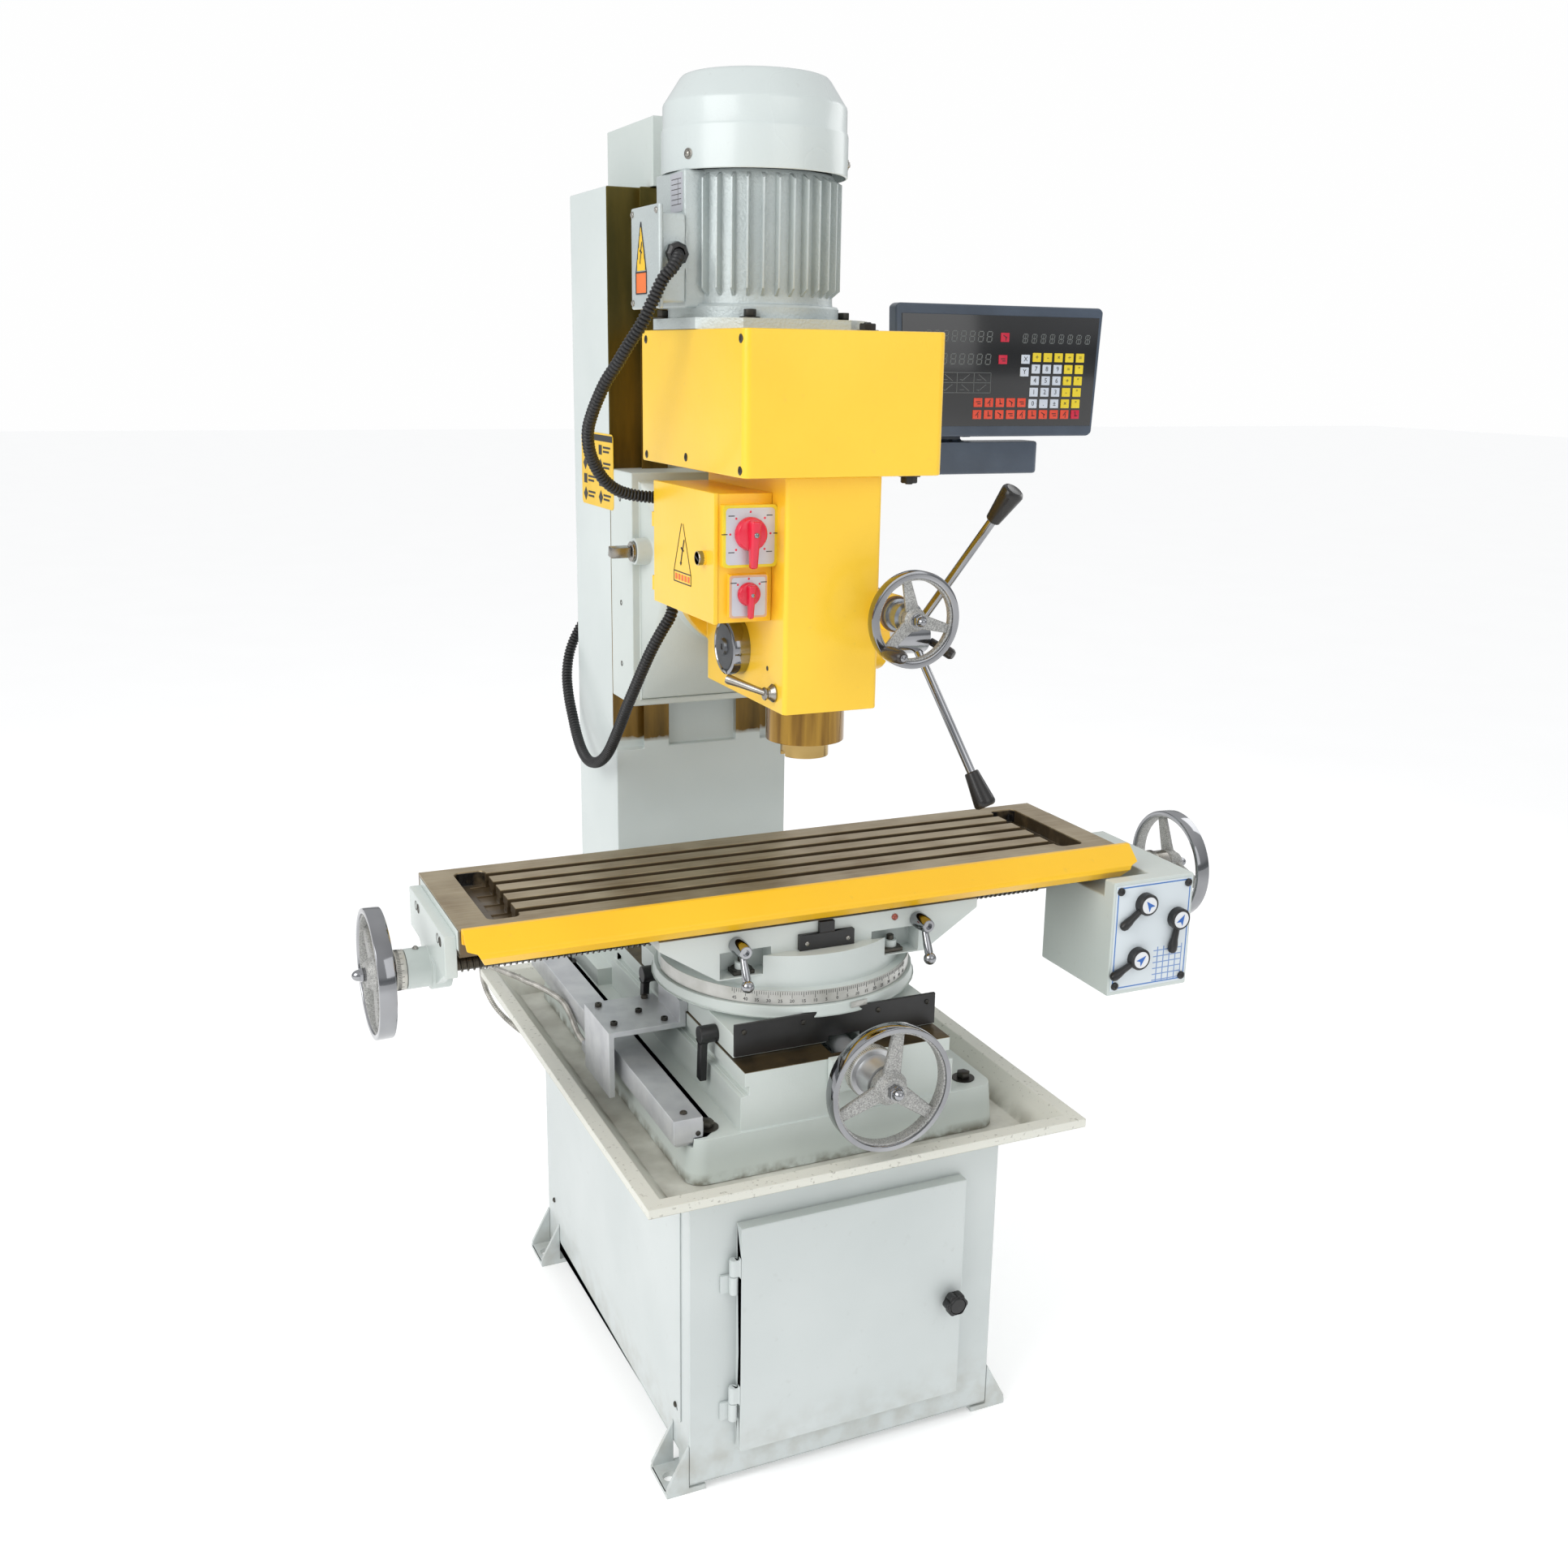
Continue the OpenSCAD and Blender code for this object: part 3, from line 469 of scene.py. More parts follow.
# --------------------------------------------------------------- chip tray
# A welded steel tray with a rolled lip, sprayed cream. Oil and dust have
# settled inside it, more near the walls.
tray_paint, shader, place = finish("tray_paint", Coat_Weight=0.2, Coat_Roughness=0.2)
drift = place.noise(0.3, 3)
body = drift.over(0.3, 0.7).mix(colour(222, 222, 212), colour(212, 212, 202))
inside = (1 - place.part("Z").over(0.4505, 0.470)) * place.part("Z").over(0.4488, 0.4496)
grime = place.noise(0.045, 6).over(0.36, 0.66) * inside * 0.75
body = grime.mix(body, colour(126, 121, 105))
rim = place.noise(0.006, 4).over(0.62, 0.7) * place.part("Z").over(0.4705, 0.4715)
(rim * 0.45).mix(body, colour(112, 106, 90)).to(shader, "Base Color")
(0.4 + drift * 0.2).to(shader, "Roughness")
(place.noise(0.0015) + place.noise(0.02) * 4).bump(0.0001).to(shader, "Normal")
softened("chip_tray", "stand", tray_paint, 1.6)

# -------------------------------------------------------------------- base
# Grey iron casting bolted through the tray, rough-cast under filler and pale
# green-grey enamel, with its slideways ground bright on top.
enamel = painted("casting_enamel", colour(208, 215, 211), colour(198, 207, 203),
                 0.34, 0.0022, 0.00012)
base_enamel, shader, place = finish("base_enamel", Coat_Weight=0.2, Coat_Roughness=0.15)
drift = place.noise(0.2, 3)
body = drift.over(0.3, 0.7).mix(colour(207, 214, 210), colour(196, 205, 200))
up = place.part("Z")
foot = (1 - up.over(0.452, 0.466)) * place.noise(0.02, 4).over(0.35, 0.6)
body = (foot * 0.8).mix(body, colour(92, 84, 62))
way = up.over(0.5915, 0.5925) * (1 - up.over(0.5945, 0.5955))
oil = place.noise(0.05, 4).over(0.4, 0.65).mix(colour(112, 94, 62), colour(74, 62, 42))
way.mix(body, oil).to(shader, "Base Color")
(way * 0.75).to(shader, "Metallic")
(0.36 + drift * 0.1 - way * 0.1).to(shader, "Roughness")
(place.noise(0.0025) + place.noise(0.018) * 4).bump(0.00012).to(shader, "Normal")
softened("base_casting", "stand", base_enamel, 0.9, seam=2e-4)
softened("y_bearing", "stand", enamel, 1.6)


def edges_of(verts):
    """The edges that meet at any of the points."""
    return list({e for v in verts for e in v.link_edges})


def round_edges(shape, edges, width, steps):
    """Rounds edges by a width in millimetres."""
    return bmesh.ops.bevel(shape, geom=edges, offset=width, segments=steps, profile=0.5,
                           affect="EDGES", material=-1)


def hex_bolt(shape, at, axis, across, tall, turn=10.0):
    """A hexagon head with a chamfered crown on a plain washer."""
    place = facing(at, axis, turn)
    turned_part(shape, [(0, 0), (0, across * 0.92), (1.6, across * 0.92), (1.9, 0)], place, 24)
    head = bmesh.ops.create_cone(
        shape, cap_ends=True, segments=6, radius1=across * 0.577, radius2=across * 0.577,
        depth=tall, matrix=place @ Matrix.Translation((0, 0, 1.9 + tall / 2)))["verts"]
    round_edges(shape, edges_of(head), across * 0.06, 2)


bolts = bmesh.new()
for x in (-190, 190):
    for y in (-296, 329):
        hex_bolt(bolts, (x, y, 512), (0, 0, 1), 17, 8, 12 + x + y)
settle(bolts, "base_bolts", "stand", screw_steel)

# ------------------------------------------------------------ glass scale
# Anodised extrusion with end caps on the left of the base, and the bracket
# with its reader, which the saddle carries along it.
alloy = plain_finish("anodised_alloy", colour(208, 210, 212), colour(190, 192, 196),
                     0.36, 0.0011, 0.00005, metal=0.55)
softened("y_scale", "stand", alloy, 1.4)
softened("scale_bracket", "saddle_body", alloy, 0.8)
cap_screws = bmesh.new()
for x, y, z in ((-246, -90, 580), (-246, -20, 580), (-200, -60, 580), (-176, -100, 580),
                (-176, -16, 580)):
    turned_part(cap_screws, [(0, 0), (0, 5), (4, 5), (4.6, 4.4), (4.6, 2.6), (2, 2.4), (2, 0)],
                facing((x, y, z), (0, 0, 1)), 18)
settle(cap_screws, "bracket_screws", "saddle_body", screw_steel)
scale_ends = bmesh.new()
pan_screw(scale_ends, (-223, -300, 540), (0, 0, 1), 5)
pan_screw(scale_ends, (-223, 334, 540), (0, 0, 1), 5)
pan_screw(scale_ends, (-210, -318, 518), (0, -1, 0), 3.4)
settle(scale_ends, "scale_end_screws", "stand", screw_steel)

# ------------------------------------------------- saddle, wiper and clamps
# The cast saddle rides on the base's ways. A black plate with a felt wiper
# is screwed to its front, and two black clamping levers lock its gib.
softened("saddle", "saddle_body", enamel, 1.6)
softened("wiper_plate", "saddle_body", knob_black, 0.6)
softened("saddle_clamp_a", "saddle_lever_rear", knob_black, 1.6)
softened("saddle_clamp_b", "saddle_lever_front", knob_black, 1.6)
wiper_screws = bmesh.new()
for x in (-134, -50, 60, 134):
    pan_screw(wiper_screws, (x, -285, 630), (0, -1, 0), 3.6)
settle(wiper_screws, "wiper_screws", "saddle_body", screw_steel)

# ------------------------------------------------------- saddle hand wheel
# Cast wheel with a deep chromed rim on three rough grey spokes, held by a
# washer and a polished acorn nut; behind it the dial collar and dark ring.
chrome = plain_finish("polished_chrome", colour(166, 167, 170), colour(134, 135, 138),
                      0.09, 0.004, 0.00001, metal=1.0)
cast_grey, shader, place = finish("rough_cast_spoke", Metallic=0.45)
pits = place.noise(0.0016, 3)
pits.over(0.35, 0.65).mix(colour(136, 136, 134), colour(192, 192, 189)).to(shader, "Base Color")
(0.45 + pits * 0.2).to(shader, "Roughness")
pits.bump(0.0006).to(shader, "Normal")
ground_steel = plain_finish("ground_steel", colour(170, 168, 163), colour(138, 134, 126),
                            0.26, 0.0015, 0.00002, metal=0.95)


def band(shape, place, low, high, inner, outer, edge, steps=64):
    """A ring of rectangular section with rounded edges, between two heights and radii."""
    turned_part(shape, [
        (low, inner + edge), (low, outer - edge), (low + edge * 0.3, outer - edge * 0.3),
        (low + edge, outer), (high - edge, outer), (high - edge * 0.3, outer - edge * 0.3),
        (high, outer - edge), (high, inner + edge), (high - edge * 0.3, inner + edge * 0.3),
        (high - edge, inner), (low + edge, inner), (low + edge * 0.3, inner + edge * 0.3),
        (low, inner + edge)], place, steps)


def hand_wheel(name, body, place, radius, rim, deep, turn, hub, nut_from, nut_to):
    """The rim, the spoked centre and the nut of a hand wheel whose back is at the place."""
    rims = bmesh.new()
    band(rims, place, 0.5, deep, radius - rim + 2.5, radius, 1.6, 96)
    rim_piece = settle(rims, name + "_rim", body, chrome)
    centre = bmesh.new()
    band(centre, place, 2.6, deep - 2.6, radius - rim, radius - rim + 4.5, 1.2, 96)
    mid = deep / 2
    turned_part(centre, [(0, 0), (0, hub * 0.86), (1.2, hub * 0.95), (3, hub),
                         (mid + 4, hub), (mid + 5.5, hub * 0.9), (deep, hub * 0.78),
                         (deep + 2, hub * 0.74), (deep + 2.6, hub * 0.68), (deep + 2.6, 0)],
                place, 40)
    reach = radius - rim + 2 - hub * 0.7
    for angle in (90, 210, 330):
        arm = bmesh.ops.create_cube(centre, size=1, matrix=Matrix.Diagonal(
            (reach, radius * 0.24, deep * 0.34, 1)))["verts"]
        for vert in arm:
            if vert.co.x > 0:
                vert.co.y *= 0.78
            else:
                vert.co.y *= 1.25
        edges = list({e for v in arm for e in v.link_edges})
        made = round_edges(centre, edges, deep * 0.11, 3)
        arm = list({v for f in made["faces"] for v in f.verts} | {v for v in arm if v.is_valid})
        bmesh.ops.transform(centre, verts=arm, matrix=place @ Matrix.Rotation(
            radians(angle + turn), 4, "Z") @ Matrix.Translation(
                (hub * 0.7 + reach / 2, 0, mid)))
    settle(centre, name + "_spokes", body, cast_grey)
    nut = bmesh.new()
    across = (nut_to - nut_from) * 0.78
    turned_part(nut, [(nut_from, 0), (nut_from, hub * 0.56), (nut_from + 1.6, hub * 0.56),
                      (nut_from + 2, hub * 0.5), (nut_from + 2, 0)], place, 28)
    hexagon = bmesh.ops.create_cone(
        nut, cap_ends=True, segments=6, radius1=across * 0.62, radius2=across * 0.62,
        depth=across * 0.55, matrix=place @ Matrix.Translation(
            (0, 0, nut_from + 2 + across * 0.27)))["verts"]
    round_edges(nut, edges_of(hexagon), across * 0.05, 2)
    base = nut_from + 2 + across * 0.5
    dome = nut_to - base
    turned_part(nut, [(base, 0), (base, across * 0.48)] + [
        (base + dome * sin(radians(a)), across * 0.48 * cos(radians(a)))
        for a in range(12, 90, 13)] + [(nut_to, 0)], place, 28)
    settle(nut, name + "_nut", body, chrome)
    return rim_piece


wheel_place = facing((11, -402, 584), (0, -1, 0))
rim_piece = hand_wheel("saddle_wheel", "y_leadscrew", wheel_place, 84, 10, 22, -8, 23, 22, 44)
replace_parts(rim_piece, "y_wheel", "y_screw")
collar = bmesh.new()
turned_part(collar, [(-49, 0), (-49, 33), (-48, 34), (-30, 34), (-29, 33), (-29, 27), (-26, 26),
                     (0, 25), (0.5, 0)], wheel_place, 48)
turned_part(collar, [(-77, 0), (-77, 14), (-49, 14), (-49, 0)], wheel_place, 24)
turned_part(collar, [(-572, 0), (-572, 13.4), (-571, 14), (-78, 14), (-77, 13), (-77, 0)],
            wheel_place, 32)
settle(collar, "saddle_screw", "y_leadscrew", plain_finish(
    "collar_steel", colour(204, 205, 206), colour(184, 185, 187), 0.34, 0.002, 0.00002,
    metal=0.7))
dial_paint = plain_finish("dial_satin", colour(206, 204, 196), colour(186, 184, 176), 0.35,
                          0.002, 0.00002, metal=0.6)
ink = plain_finish("black_ink", colour(30, 30, 32), colour(44, 44, 46), 0.5, 0.002, 0.00001)


def dial_ring(name, body, place, low, high, radius, marks):
    """A satin dial band with a black line for each division, longer at every fifth."""
    ring = bmesh.new()
    band(ring, place, low, high, radius - 3, radius + 0.35, 0.5, 72)
    settle(ring, name + "_band", body, dial_paint)
    lines = bmesh.new()
    for k in range(marks):
        long = (high - low) * (0.62 if k % 5 == 0 else 0.36)
        bmesh.ops.create_cube(lines, size=1, matrix=place @ Matrix.Rotation(
            2 * pi * k / marks, 4, "Z") @ Matrix.Translation(
                (radius + 0.4, 0, high - 0.8 - long / 2)) @ Matrix.Diagonal(
                    (0.3, 0.5, long, 1)))
    settle(lines, name + "_lines", body, ink)


dial_ring("saddle_dial", "y_leadscrew", wheel_place, -46, -31, 34, 80)

# -------------------------------------------------------------- swivel base
# Round upper slide with its degree strip riveted round the front, graduated
# from nought at the middle, over the flange of the saddle.
swivel_paint = painted("swivel_enamel", colour(209, 215, 212), colour(199, 207, 204),
                       0.33, 0.002, 0.0001)
softened("upper_saddle", "swivel", swivel_paint, 0.7)
strip = plain_finish("degree_strip", colour(196, 196, 192), colour(176, 176, 170), 0.32,
                     0.001, 0.00001, metal=0.55)
nodes["degree_ring"].data.materials.clear()
nodes["degree_ring"].data.materials.append(strip)
for face in nodes["degree_ring"].data.polygons:
    face.material_index = 0
ticks = bmesh.new()
for degree in range(-46, 47):
    long = 9 if degree % 10 == 0 else 7 if degree % 5 == 0 else 4.5
    bmesh.ops.create_cube(ticks, size=1, matrix=Matrix.Translation((0, -105, 669 - long / 2))
                          @ Matrix.Rotation(radians(degree), 4, "Z")
                          @ Matrix.Translation((0, -177.3, 0))
                          @ Matrix.Diagonal((0.55, 0.4, long, 1)))
settle(ticks, "degree_ticks", "swivel", ink)


def lettering(text, size, place, depth=0.3, spread=1.0):
    """Figures of a given height in millimetres, as a thin raised mesh centred on a place."""
    curve = bpy.data.curves.new("figures", "FONT")
    curve.body = text
    curve.size = size * 1.38
    curve.align_x = "CENTER"
    curve.align_y = "CENTER"
    curve.extrude = depth / 2
    curve.resolution_u = 2
    curve.space_character = spread
    holder = bpy.data.objects.new("figures", curve)
    bpy.context.scene.collection.objects.link(holder)
    bpy.context.view_layer.update()
    flat = bpy.data.meshes.new_from_object(holder)
    bpy.data.objects.remove(holder)
    bpy.data.curves.remove(curve)
    flat.transform(place)
    return flat


figures = bmesh.new()
for degree in range(-45, 46, 5):
    figures.from_mesh(lettering(str(abs(degree)), 4.6, Matrix.Translation((0, -105, 656))
                                @ Matrix.Rotation(radians(degree), 4, "Z")
                                @ Matrix.Translation((0, -177.3, 0))
                                @ Matrix.Rotation(radians(90), 4, "X")))
settle(figures, "degree_figures", "swivel", ink)
index = bmesh.new()
bmesh.ops.create_cube(index, size=1, matrix=Matrix.Translation((30, -287, 645))
                      @ Matrix.Rotation(radians(9.5), 4, "Z")
                      @ Matrix.Diagonal((26, 1.2, 8, 1)))
round_edges(index, index.edges, 0.4, 2)
for x in (22, 38):
    pan_screw(index, (x, -288.0 + (x - 22) * 0.16, 645), (0, -1, 0), 1.5)
settle(index, "index_plate", "saddle_body", strip)

# T-bolts in the two pockets, with square washers under their nuts.
pocket_bolts = bmesh.new()
for x in (-114, 106):
    washer = bmesh.ops.create_cube(pocket_bolts, size=1, matrix=Matrix.Translation(
        (x, -226, 691)) @ Matrix.Diagonal((30, 22, 6, 1)))["verts"]
    round_edges(pocket_bolts, edges_of(washer), 1.2, 2)
    hex_bolt(pocket_bolts, (x, -226, 693), (0, 0, 1), 16, 9, 20)
    turned_part(pocket_bolts, [(8, 0), (8, 5), (16, 5), (17, 4), (17, 0)],
                facing((x, -226, 694), (0, 0, 1)), 20)
settle(pocket_bolts, "pocket_bolts", "swivel", screw_steel)

# Black stop bracket below the table's front edge, held by two screws.
softened("stop_bracket", "swivel", knob_black, 0.7)
stop_screws = bmesh.new()
for x in (-30, 30):
    pan_screw(stop_screws, (x, -249, 724), (0, -1, 0), 3.2)
settle(stop_screws, "stop_screws", "swivel", ground_steel)
turned_piece("oil_nipple", "swivel", plain_finish("red_brass", colour(176, 104, 92),
    colour(150, 84, 72), 0.3, 0.002, 0.00002, metal=0.6), [(0, 0), (0, 4.6),
    (1.4, 4.6), (2.4, 3.4), (3.2, 2.2), (4.6, 2.0), (5.4, 0)], facing((104, -241, 741),
    (0, -1, 0)), 20)


# -------------------------------------------------------- table lock levers
# Chromed ball levers on socket-headed hubs, one at each side of the swivel.
def ball_lever(name, node, body, x):
    hub = facing((x, -241.2, 734), (0, -1, 0))
    lever = bmesh.new()
    turned_part(lever, [(-22, 0), (-22, 6), (0, 6), (0, 9.6), (1.2, 11), (12, 11.4), (26, 10.4),
                        (31, 9.4), (34, 8.6), (34.6, 7.8), (34.6, 4.6), (30, 4.4), (30, 0)],
                hub, 32)
    turned_part(lever, [(4, 0), (4, 4.0), (12, 4.6), (24, 5.4), (36, 5.8), (38.6, 5.4)]
                + [(45 - 8.6 * cos(radians(a)), 8.6 * sin(radians(a)))
                   for a in range(40, 180, 14)] + [(53.6, 0)],
                facing((x, -262, 731), (0, -0.44, -0.9)), 28)
    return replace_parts(settle(lever, name, body, chrome), node)


ball_lever("left_ball_lever", "table_lock_a", "table_lever_left", -128)
ball_lever("right_ball_lever", "table_lock_b", "table_lever_right", 138)

# -------------------------------------------------------------------- table
# Ground cast iron work table, darkened by oil, with five T-slots and a
# coolant pocket at each end painted black inside.
table_iron, shader, place = finish("table_iron", Coat_Weight=0.15, Coat_Roughness=0.2)
long_marks = place.noise(0.004, 3, (0.05, 1, 1))
patches = place.noise(0.07, 4)
body = patches.over(0.3, 0.7).mix(colour(184, 167, 134), colour(146, 125, 92))
body = (long_marks.over(0.35, 0.7) * 0.35).mix(body, colour(200, 188, 160))
high = place.part("Z")
down = 1 - high.over(0.7945, 0.7962)
body = (down * 0.82).mix(body, colour(88, 72, 50))
left_end = (1 - place.part("X").over(-0.4005, -0.3995)) * place.part("X").over(-0.4425, -0.4415)
right_end = place.part("X").over(0.3895, 0.3905) * (1 - place.part("X").over(0.4315, 0.4325))
pocket = (left_end + right_end) * down * high.over(0.7768, 0.7774) * \
    place.part("Y").over(-0.2035, -0.2025)
body = (pocket * place.noise(0.03, 2).over(0.25, 0.45)).mix(body, colour(16, 16, 17))
body.to(shader, "Base Color")
(0.85 - pocket * 0.8 - down * 0.2).to(shader, "Metallic")
(0.3 + patches * 0.12 - pocket * 0.1).to(shader, "Roughness")
(long_marks * 0.4 + pocket * place.noise(0.012, 2) * 8).bump(0.0002).to(shader, "Normal")
softened("table", "table_body", table_iron, 0.9)
edge_paint = bmesh.new()
bmesh.ops.create_cube(edge_paint, size=1, matrix=Matrix.Translation((-483.2, -110, 781))
                      @ Matrix.Diagonal((0.8, 220, 26, 1)))
round_edges(edge_paint, edge_paint.edges, 0.3, 2)
settle(edge_paint, "table_end_paint", "table_body", enamel)

# Yellow bent-sheet guard along the table's front edge.
yellow = painted("yellow_enamel", colour(252, 200, 22), colour(247, 190, 14), 0.3, 0.0018,
                 0.00014)
softened("table_guard", "table_body", yellow, 0.8)

# --------------------------------------------------- bearing bracket, left
# Cast bracket on four socket screws in counterbores, the black retaining
# ring, the steel dial and the left hand wheel.
softened("left_bracket", "table_body", enamel, 1.8)
bracket_bores = bmesh.new()
for y in (-190, -60):
    for step in (0, 14):
        turned_part(bracket_bores, [(-0.4, 0), (-0.4, 6.4), (0.3, 6.4), (0.3, 5.4),
                                    (-0.2, 5.0), (-0.2, 0)],
                    facing((-499.1, y + step, 772), (-1, 0, 0)), 20)
settle(bracket_bores, "bracket_bores", "table_body", screw_steel)
turned_piece("bracket_nipple", "table_body", ground_steel, [(0, 0), (0, 4),
    (1.4, 4), (2.2, 3), (3.4, 2), (4.4, 0)], facing((-514, -107, 736), (0, 0, 1)), 20)
left_place = facing((-553, -107, 710), (-1, 0, 0))
rim_piece = hand_wheel("left_wheel", "x_leadscrew", left_place, 84, 10, 22, 62, 23, 22, 42)
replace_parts(rim_piece, "x_wheel_left")
turned_piece("left_black_ring", "x_leadscrew", knob_black, [(-10.4, 0),
    (-10.4, 22), (-9.6, 23), (-1, 23), (0.3, 22), (0.3, 0)], left_place, 48)
turned_piece("left_core", "x_leadscrew", ground_steel, [(-23.6, 0), (-23.6, 25),
    (-10.2, 25), (-10.2, 0)], left_place, 48)
dial_ring("left_dial", "x_leadscrew", left_place, -23.4, -11, 25.6, 100)

# ----------------------------------------------------------- table leadscrew
# The long screw below the table, black with oil, with a trapezoidal thread.
thread_black = plain_finish("oily_thread", colour(44, 40, 34), colour(74, 68, 58), 0.28,
                            0.003, 0.00004, metal=0.85)
shaft = bmesh.new()
turned_part(shaft, [(-470, 0), (-470, 11.6), (473, 11.6), (473, 14), (592, 14), (592, 10),
                    (677, 10), (677, 0)], facing((0, -107, 710), (1, 0, 0)), 28)
turned_part(shaft, [(-571, 0), (-571, 9.9), (-469, 9.9), (-469, 0)],
            facing((0, -107, 710), (1, 0, 0)), 24)
turns = 110
crest = [shaft.verts.new((x, -107, 710 + r)) for x, r in
         ((-462.0, 11.2), (-460.9, 13.9), (-459.1, 13.9), (-458.0, 11.2))]
lines = [shaft.edges.new(pair) for pair in zip(crest, crest[1:])]
bmesh.ops.spin(shaft, geom=crest + lines, cent=(0, -107, 710), axis=(1, 0, 0),
               dvec=(8 / 14, 0, 0), angle=2 * pi * turns, steps=14 * turns)
screw_piece = settle(shaft, "table_screw", "x_leadscrew", thread_black)
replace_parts(screw_piece, "x_screw")

# ------------------------------------------------------------- feed gearbox
# Cast housing at the table's right end with a printed front plate, three
# selector knobs, and the second hand wheel behind it.
softened("feed_box", "table_body", enamel, 2.6)
plate_paint, shader, place = finish("printed_plate", Coat_Weight=0.3, Coat_Roughness=0.2)
field = place.noise(0.05).mix(colour(216, 224, 228), colour(207, 216, 221))
across = place.part("X")
tall = place.part("Z")
line = 0
for middle, half in ((0.492, 0.0625), (0.492, 0.0605)):
    inside = 1 - abs(across - middle).over(half, half + 0.0003)
    inside = inside * (1 - abs(tall - 0.6815).over(half + 0.0135, half + 0.0138))
    line = inside - line
frame_line = (line * -1).over(0.4, 0.6)
columns = 1 - abs((across * 95).fraction() - 0.5).over(0.40, 0.42)
rows = 1 - abs((tall * 110).fraction() - 0.5).over(0.40, 0.42)
window = tall.over(0.606, 0.6063) * (1 - tall.over(0.660, 0.6603))
window = window * across.over(0.498, 0.4983) * (1 - across.over(0.548, 0.5483))
cells = window * (1 - columns * rows)
(frame_line + cells * 0.8).over(0, 1).mix(
    field, colour(64, 118, 188)).to(shader, "Base Color")
(0.3 + place.noise(0.02) * 0.1).to(shader, "Roughness")
place.noise(0.002).bump(0.00002).to(shader, "Normal")
face_plate = bmesh.new()
bmesh.ops.create_cube(face_plate, size=1, matrix=Matrix.Translation((492, -294.6, 681))
                      @ Matrix.Diagonal((130, 1.6, 158, 1)))
round_edges(face_plate, face_plate.edges, 0.5, 2)
settle(face_plate, "feed_plate", "table_body", plate_paint)
corner_screws = bmesh.new()
for x in (434, 550):
    for z in (610, 752):
        pan_screw(corner_screws, (x, -295.4, z), (0, -1, 0), 6)
settle(corner_screws, "feed_plate_screws", "table_body", knob_black)
disc_white = plain_finish("white_disc", colour(232, 234, 236), colour(220, 223, 226), 0.3,
                          0.002, 0.00001)
arrow_blue = plain_finish("blue_print", colour(48, 108, 190), colour(40, 96, 176), 0.4,
                          0.002, 0.00001)
for letter, x, z, lean, point in (("a", 476, 730, 52, 130), ("b", 534, 701, 9, 60),
                                  ("c", 469, 649, 62, 40)):
    knob = bmesh.new()
    at = facing((x, -294.4, z), (0, -1, 0))
    turned_part(knob, [(-9, 0), (-9, 6), (0, 6), (0, 14.6), (1, 16), (11.5, 16), (13.4, 14.4),
                       (13.6, 12.6), (12.8, 12.2), (12.8, 0)], at, 40)
    arm = Matrix.Translation((x, -301, z)) @ Matrix.Rotation(radians(lean), 4, "Y")
    turned_part(knob, [(0, 0), (0, 4), (-30, 5), (-38, 6.4), (-46, 6.8), (-50.4, 5),
                       (-52, 2.4), (-52.3, 0)], arm, 24)
    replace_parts(settle(knob, "feed_lever_" + letter, "feed_lever_" + letter, knob_black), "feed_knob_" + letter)
    cap = bmesh.new()
    turned_part(cap, [(12.6, 0), (12.6, 12), (13.2, 12.3), (13.6, 11.8), (13.6, 0)], at, 36)
    settle(cap, "feed_cap_" + letter, "feed_lever_" + letter, disc_white)
    arrow = bmesh.new()
    tip = [arrow.verts.new(c) for c in ((9, 0, 13.7), (-7, 6, 13.7), (-3.4, 0, 13.7),
                                        (-7, -6, 13.7))]
    flat = arrow.faces.new(tip)
    grown = bmesh.ops.extrude_face_region(arrow, geom=[flat])["geom"]
    bmesh.ops.translate(arrow, vec=(0, 0, 0.25),
                        verts=[g for g in grown if isinstance(g, bmesh.types.BMVert)])
    bmesh.ops.transform(arrow, verts=arrow.verts,
                        matrix=at @ Matrix.Rotation(radians(point), 4, "Z"))
    settle(arrow, "feed_arrow_" + letter, "feed_lever_" + letter, arrow_blue)
right_place = facing((653, -107, 710), (1, 0, 0))
rim_piece = hand_wheel("right_wheel", "x_leadscrew", right_place, 84, 10, 22, -20, 23, 22, 42)
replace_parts(rim_piece, "x_wheel_right")
turned_piece("right_sleeve", "x_leadscrew", ground_steel, [(-58, 0), (-58, 22),
    (-57, 23), (-1, 23), (0.3, 22), (0.3, 0)], right_place, 48)
dial_ring("right_dial", "x_leadscrew", right_place, -40, -22, 24.6, 100)

# ------------------------------------------------------------------- column
# Cast iron column with a ground dovetail way for the head, brown with way
# oil, painted everywhere else; a sheet box closes the top.
column_paint, shader, place = finish("column_paint", Coat_Weight=0.2, Coat_Roughness=0.15)
drift = place.noise(0.25, 3)
body = drift.over(0.3, 0.7).mix(colour(214, 221, 219), colour(204, 212, 210))
side, deep, high = place.part("X"), place.part("Y"), place.part("Z")
way = (1 - deep.over(0.2232, 0.2236)) * abs(side).over(0.0545, 0.0555) * \
    high.over(0.9, 0.902 + place.noise(0.01, 2) * 0.01)
streak = place.noise(0.03, 4, (1, 1, 0.16))
film = streak.over(0.35, 0.66).mix(colour(142, 110, 46), colour(86, 68, 30))
film = (high.over(1.0, 1.66) * 0.6).mix(film, colour(98, 94, 44))
way.mix(body, film).to(shader, "Base Color")
(way * 0.8).to(shader, "Metallic")
(0.38 + drift * 0.1 - way * 0.08).to(shader, "Roughness")
(place.noise(0.003) * (1 - way) + place.noise(0.03) * 3).bump(0.00012).to(shader, "Normal")
softened("column", "stand", column_paint, 2.4)
softened("column_cap", "stand", enamel, 2)


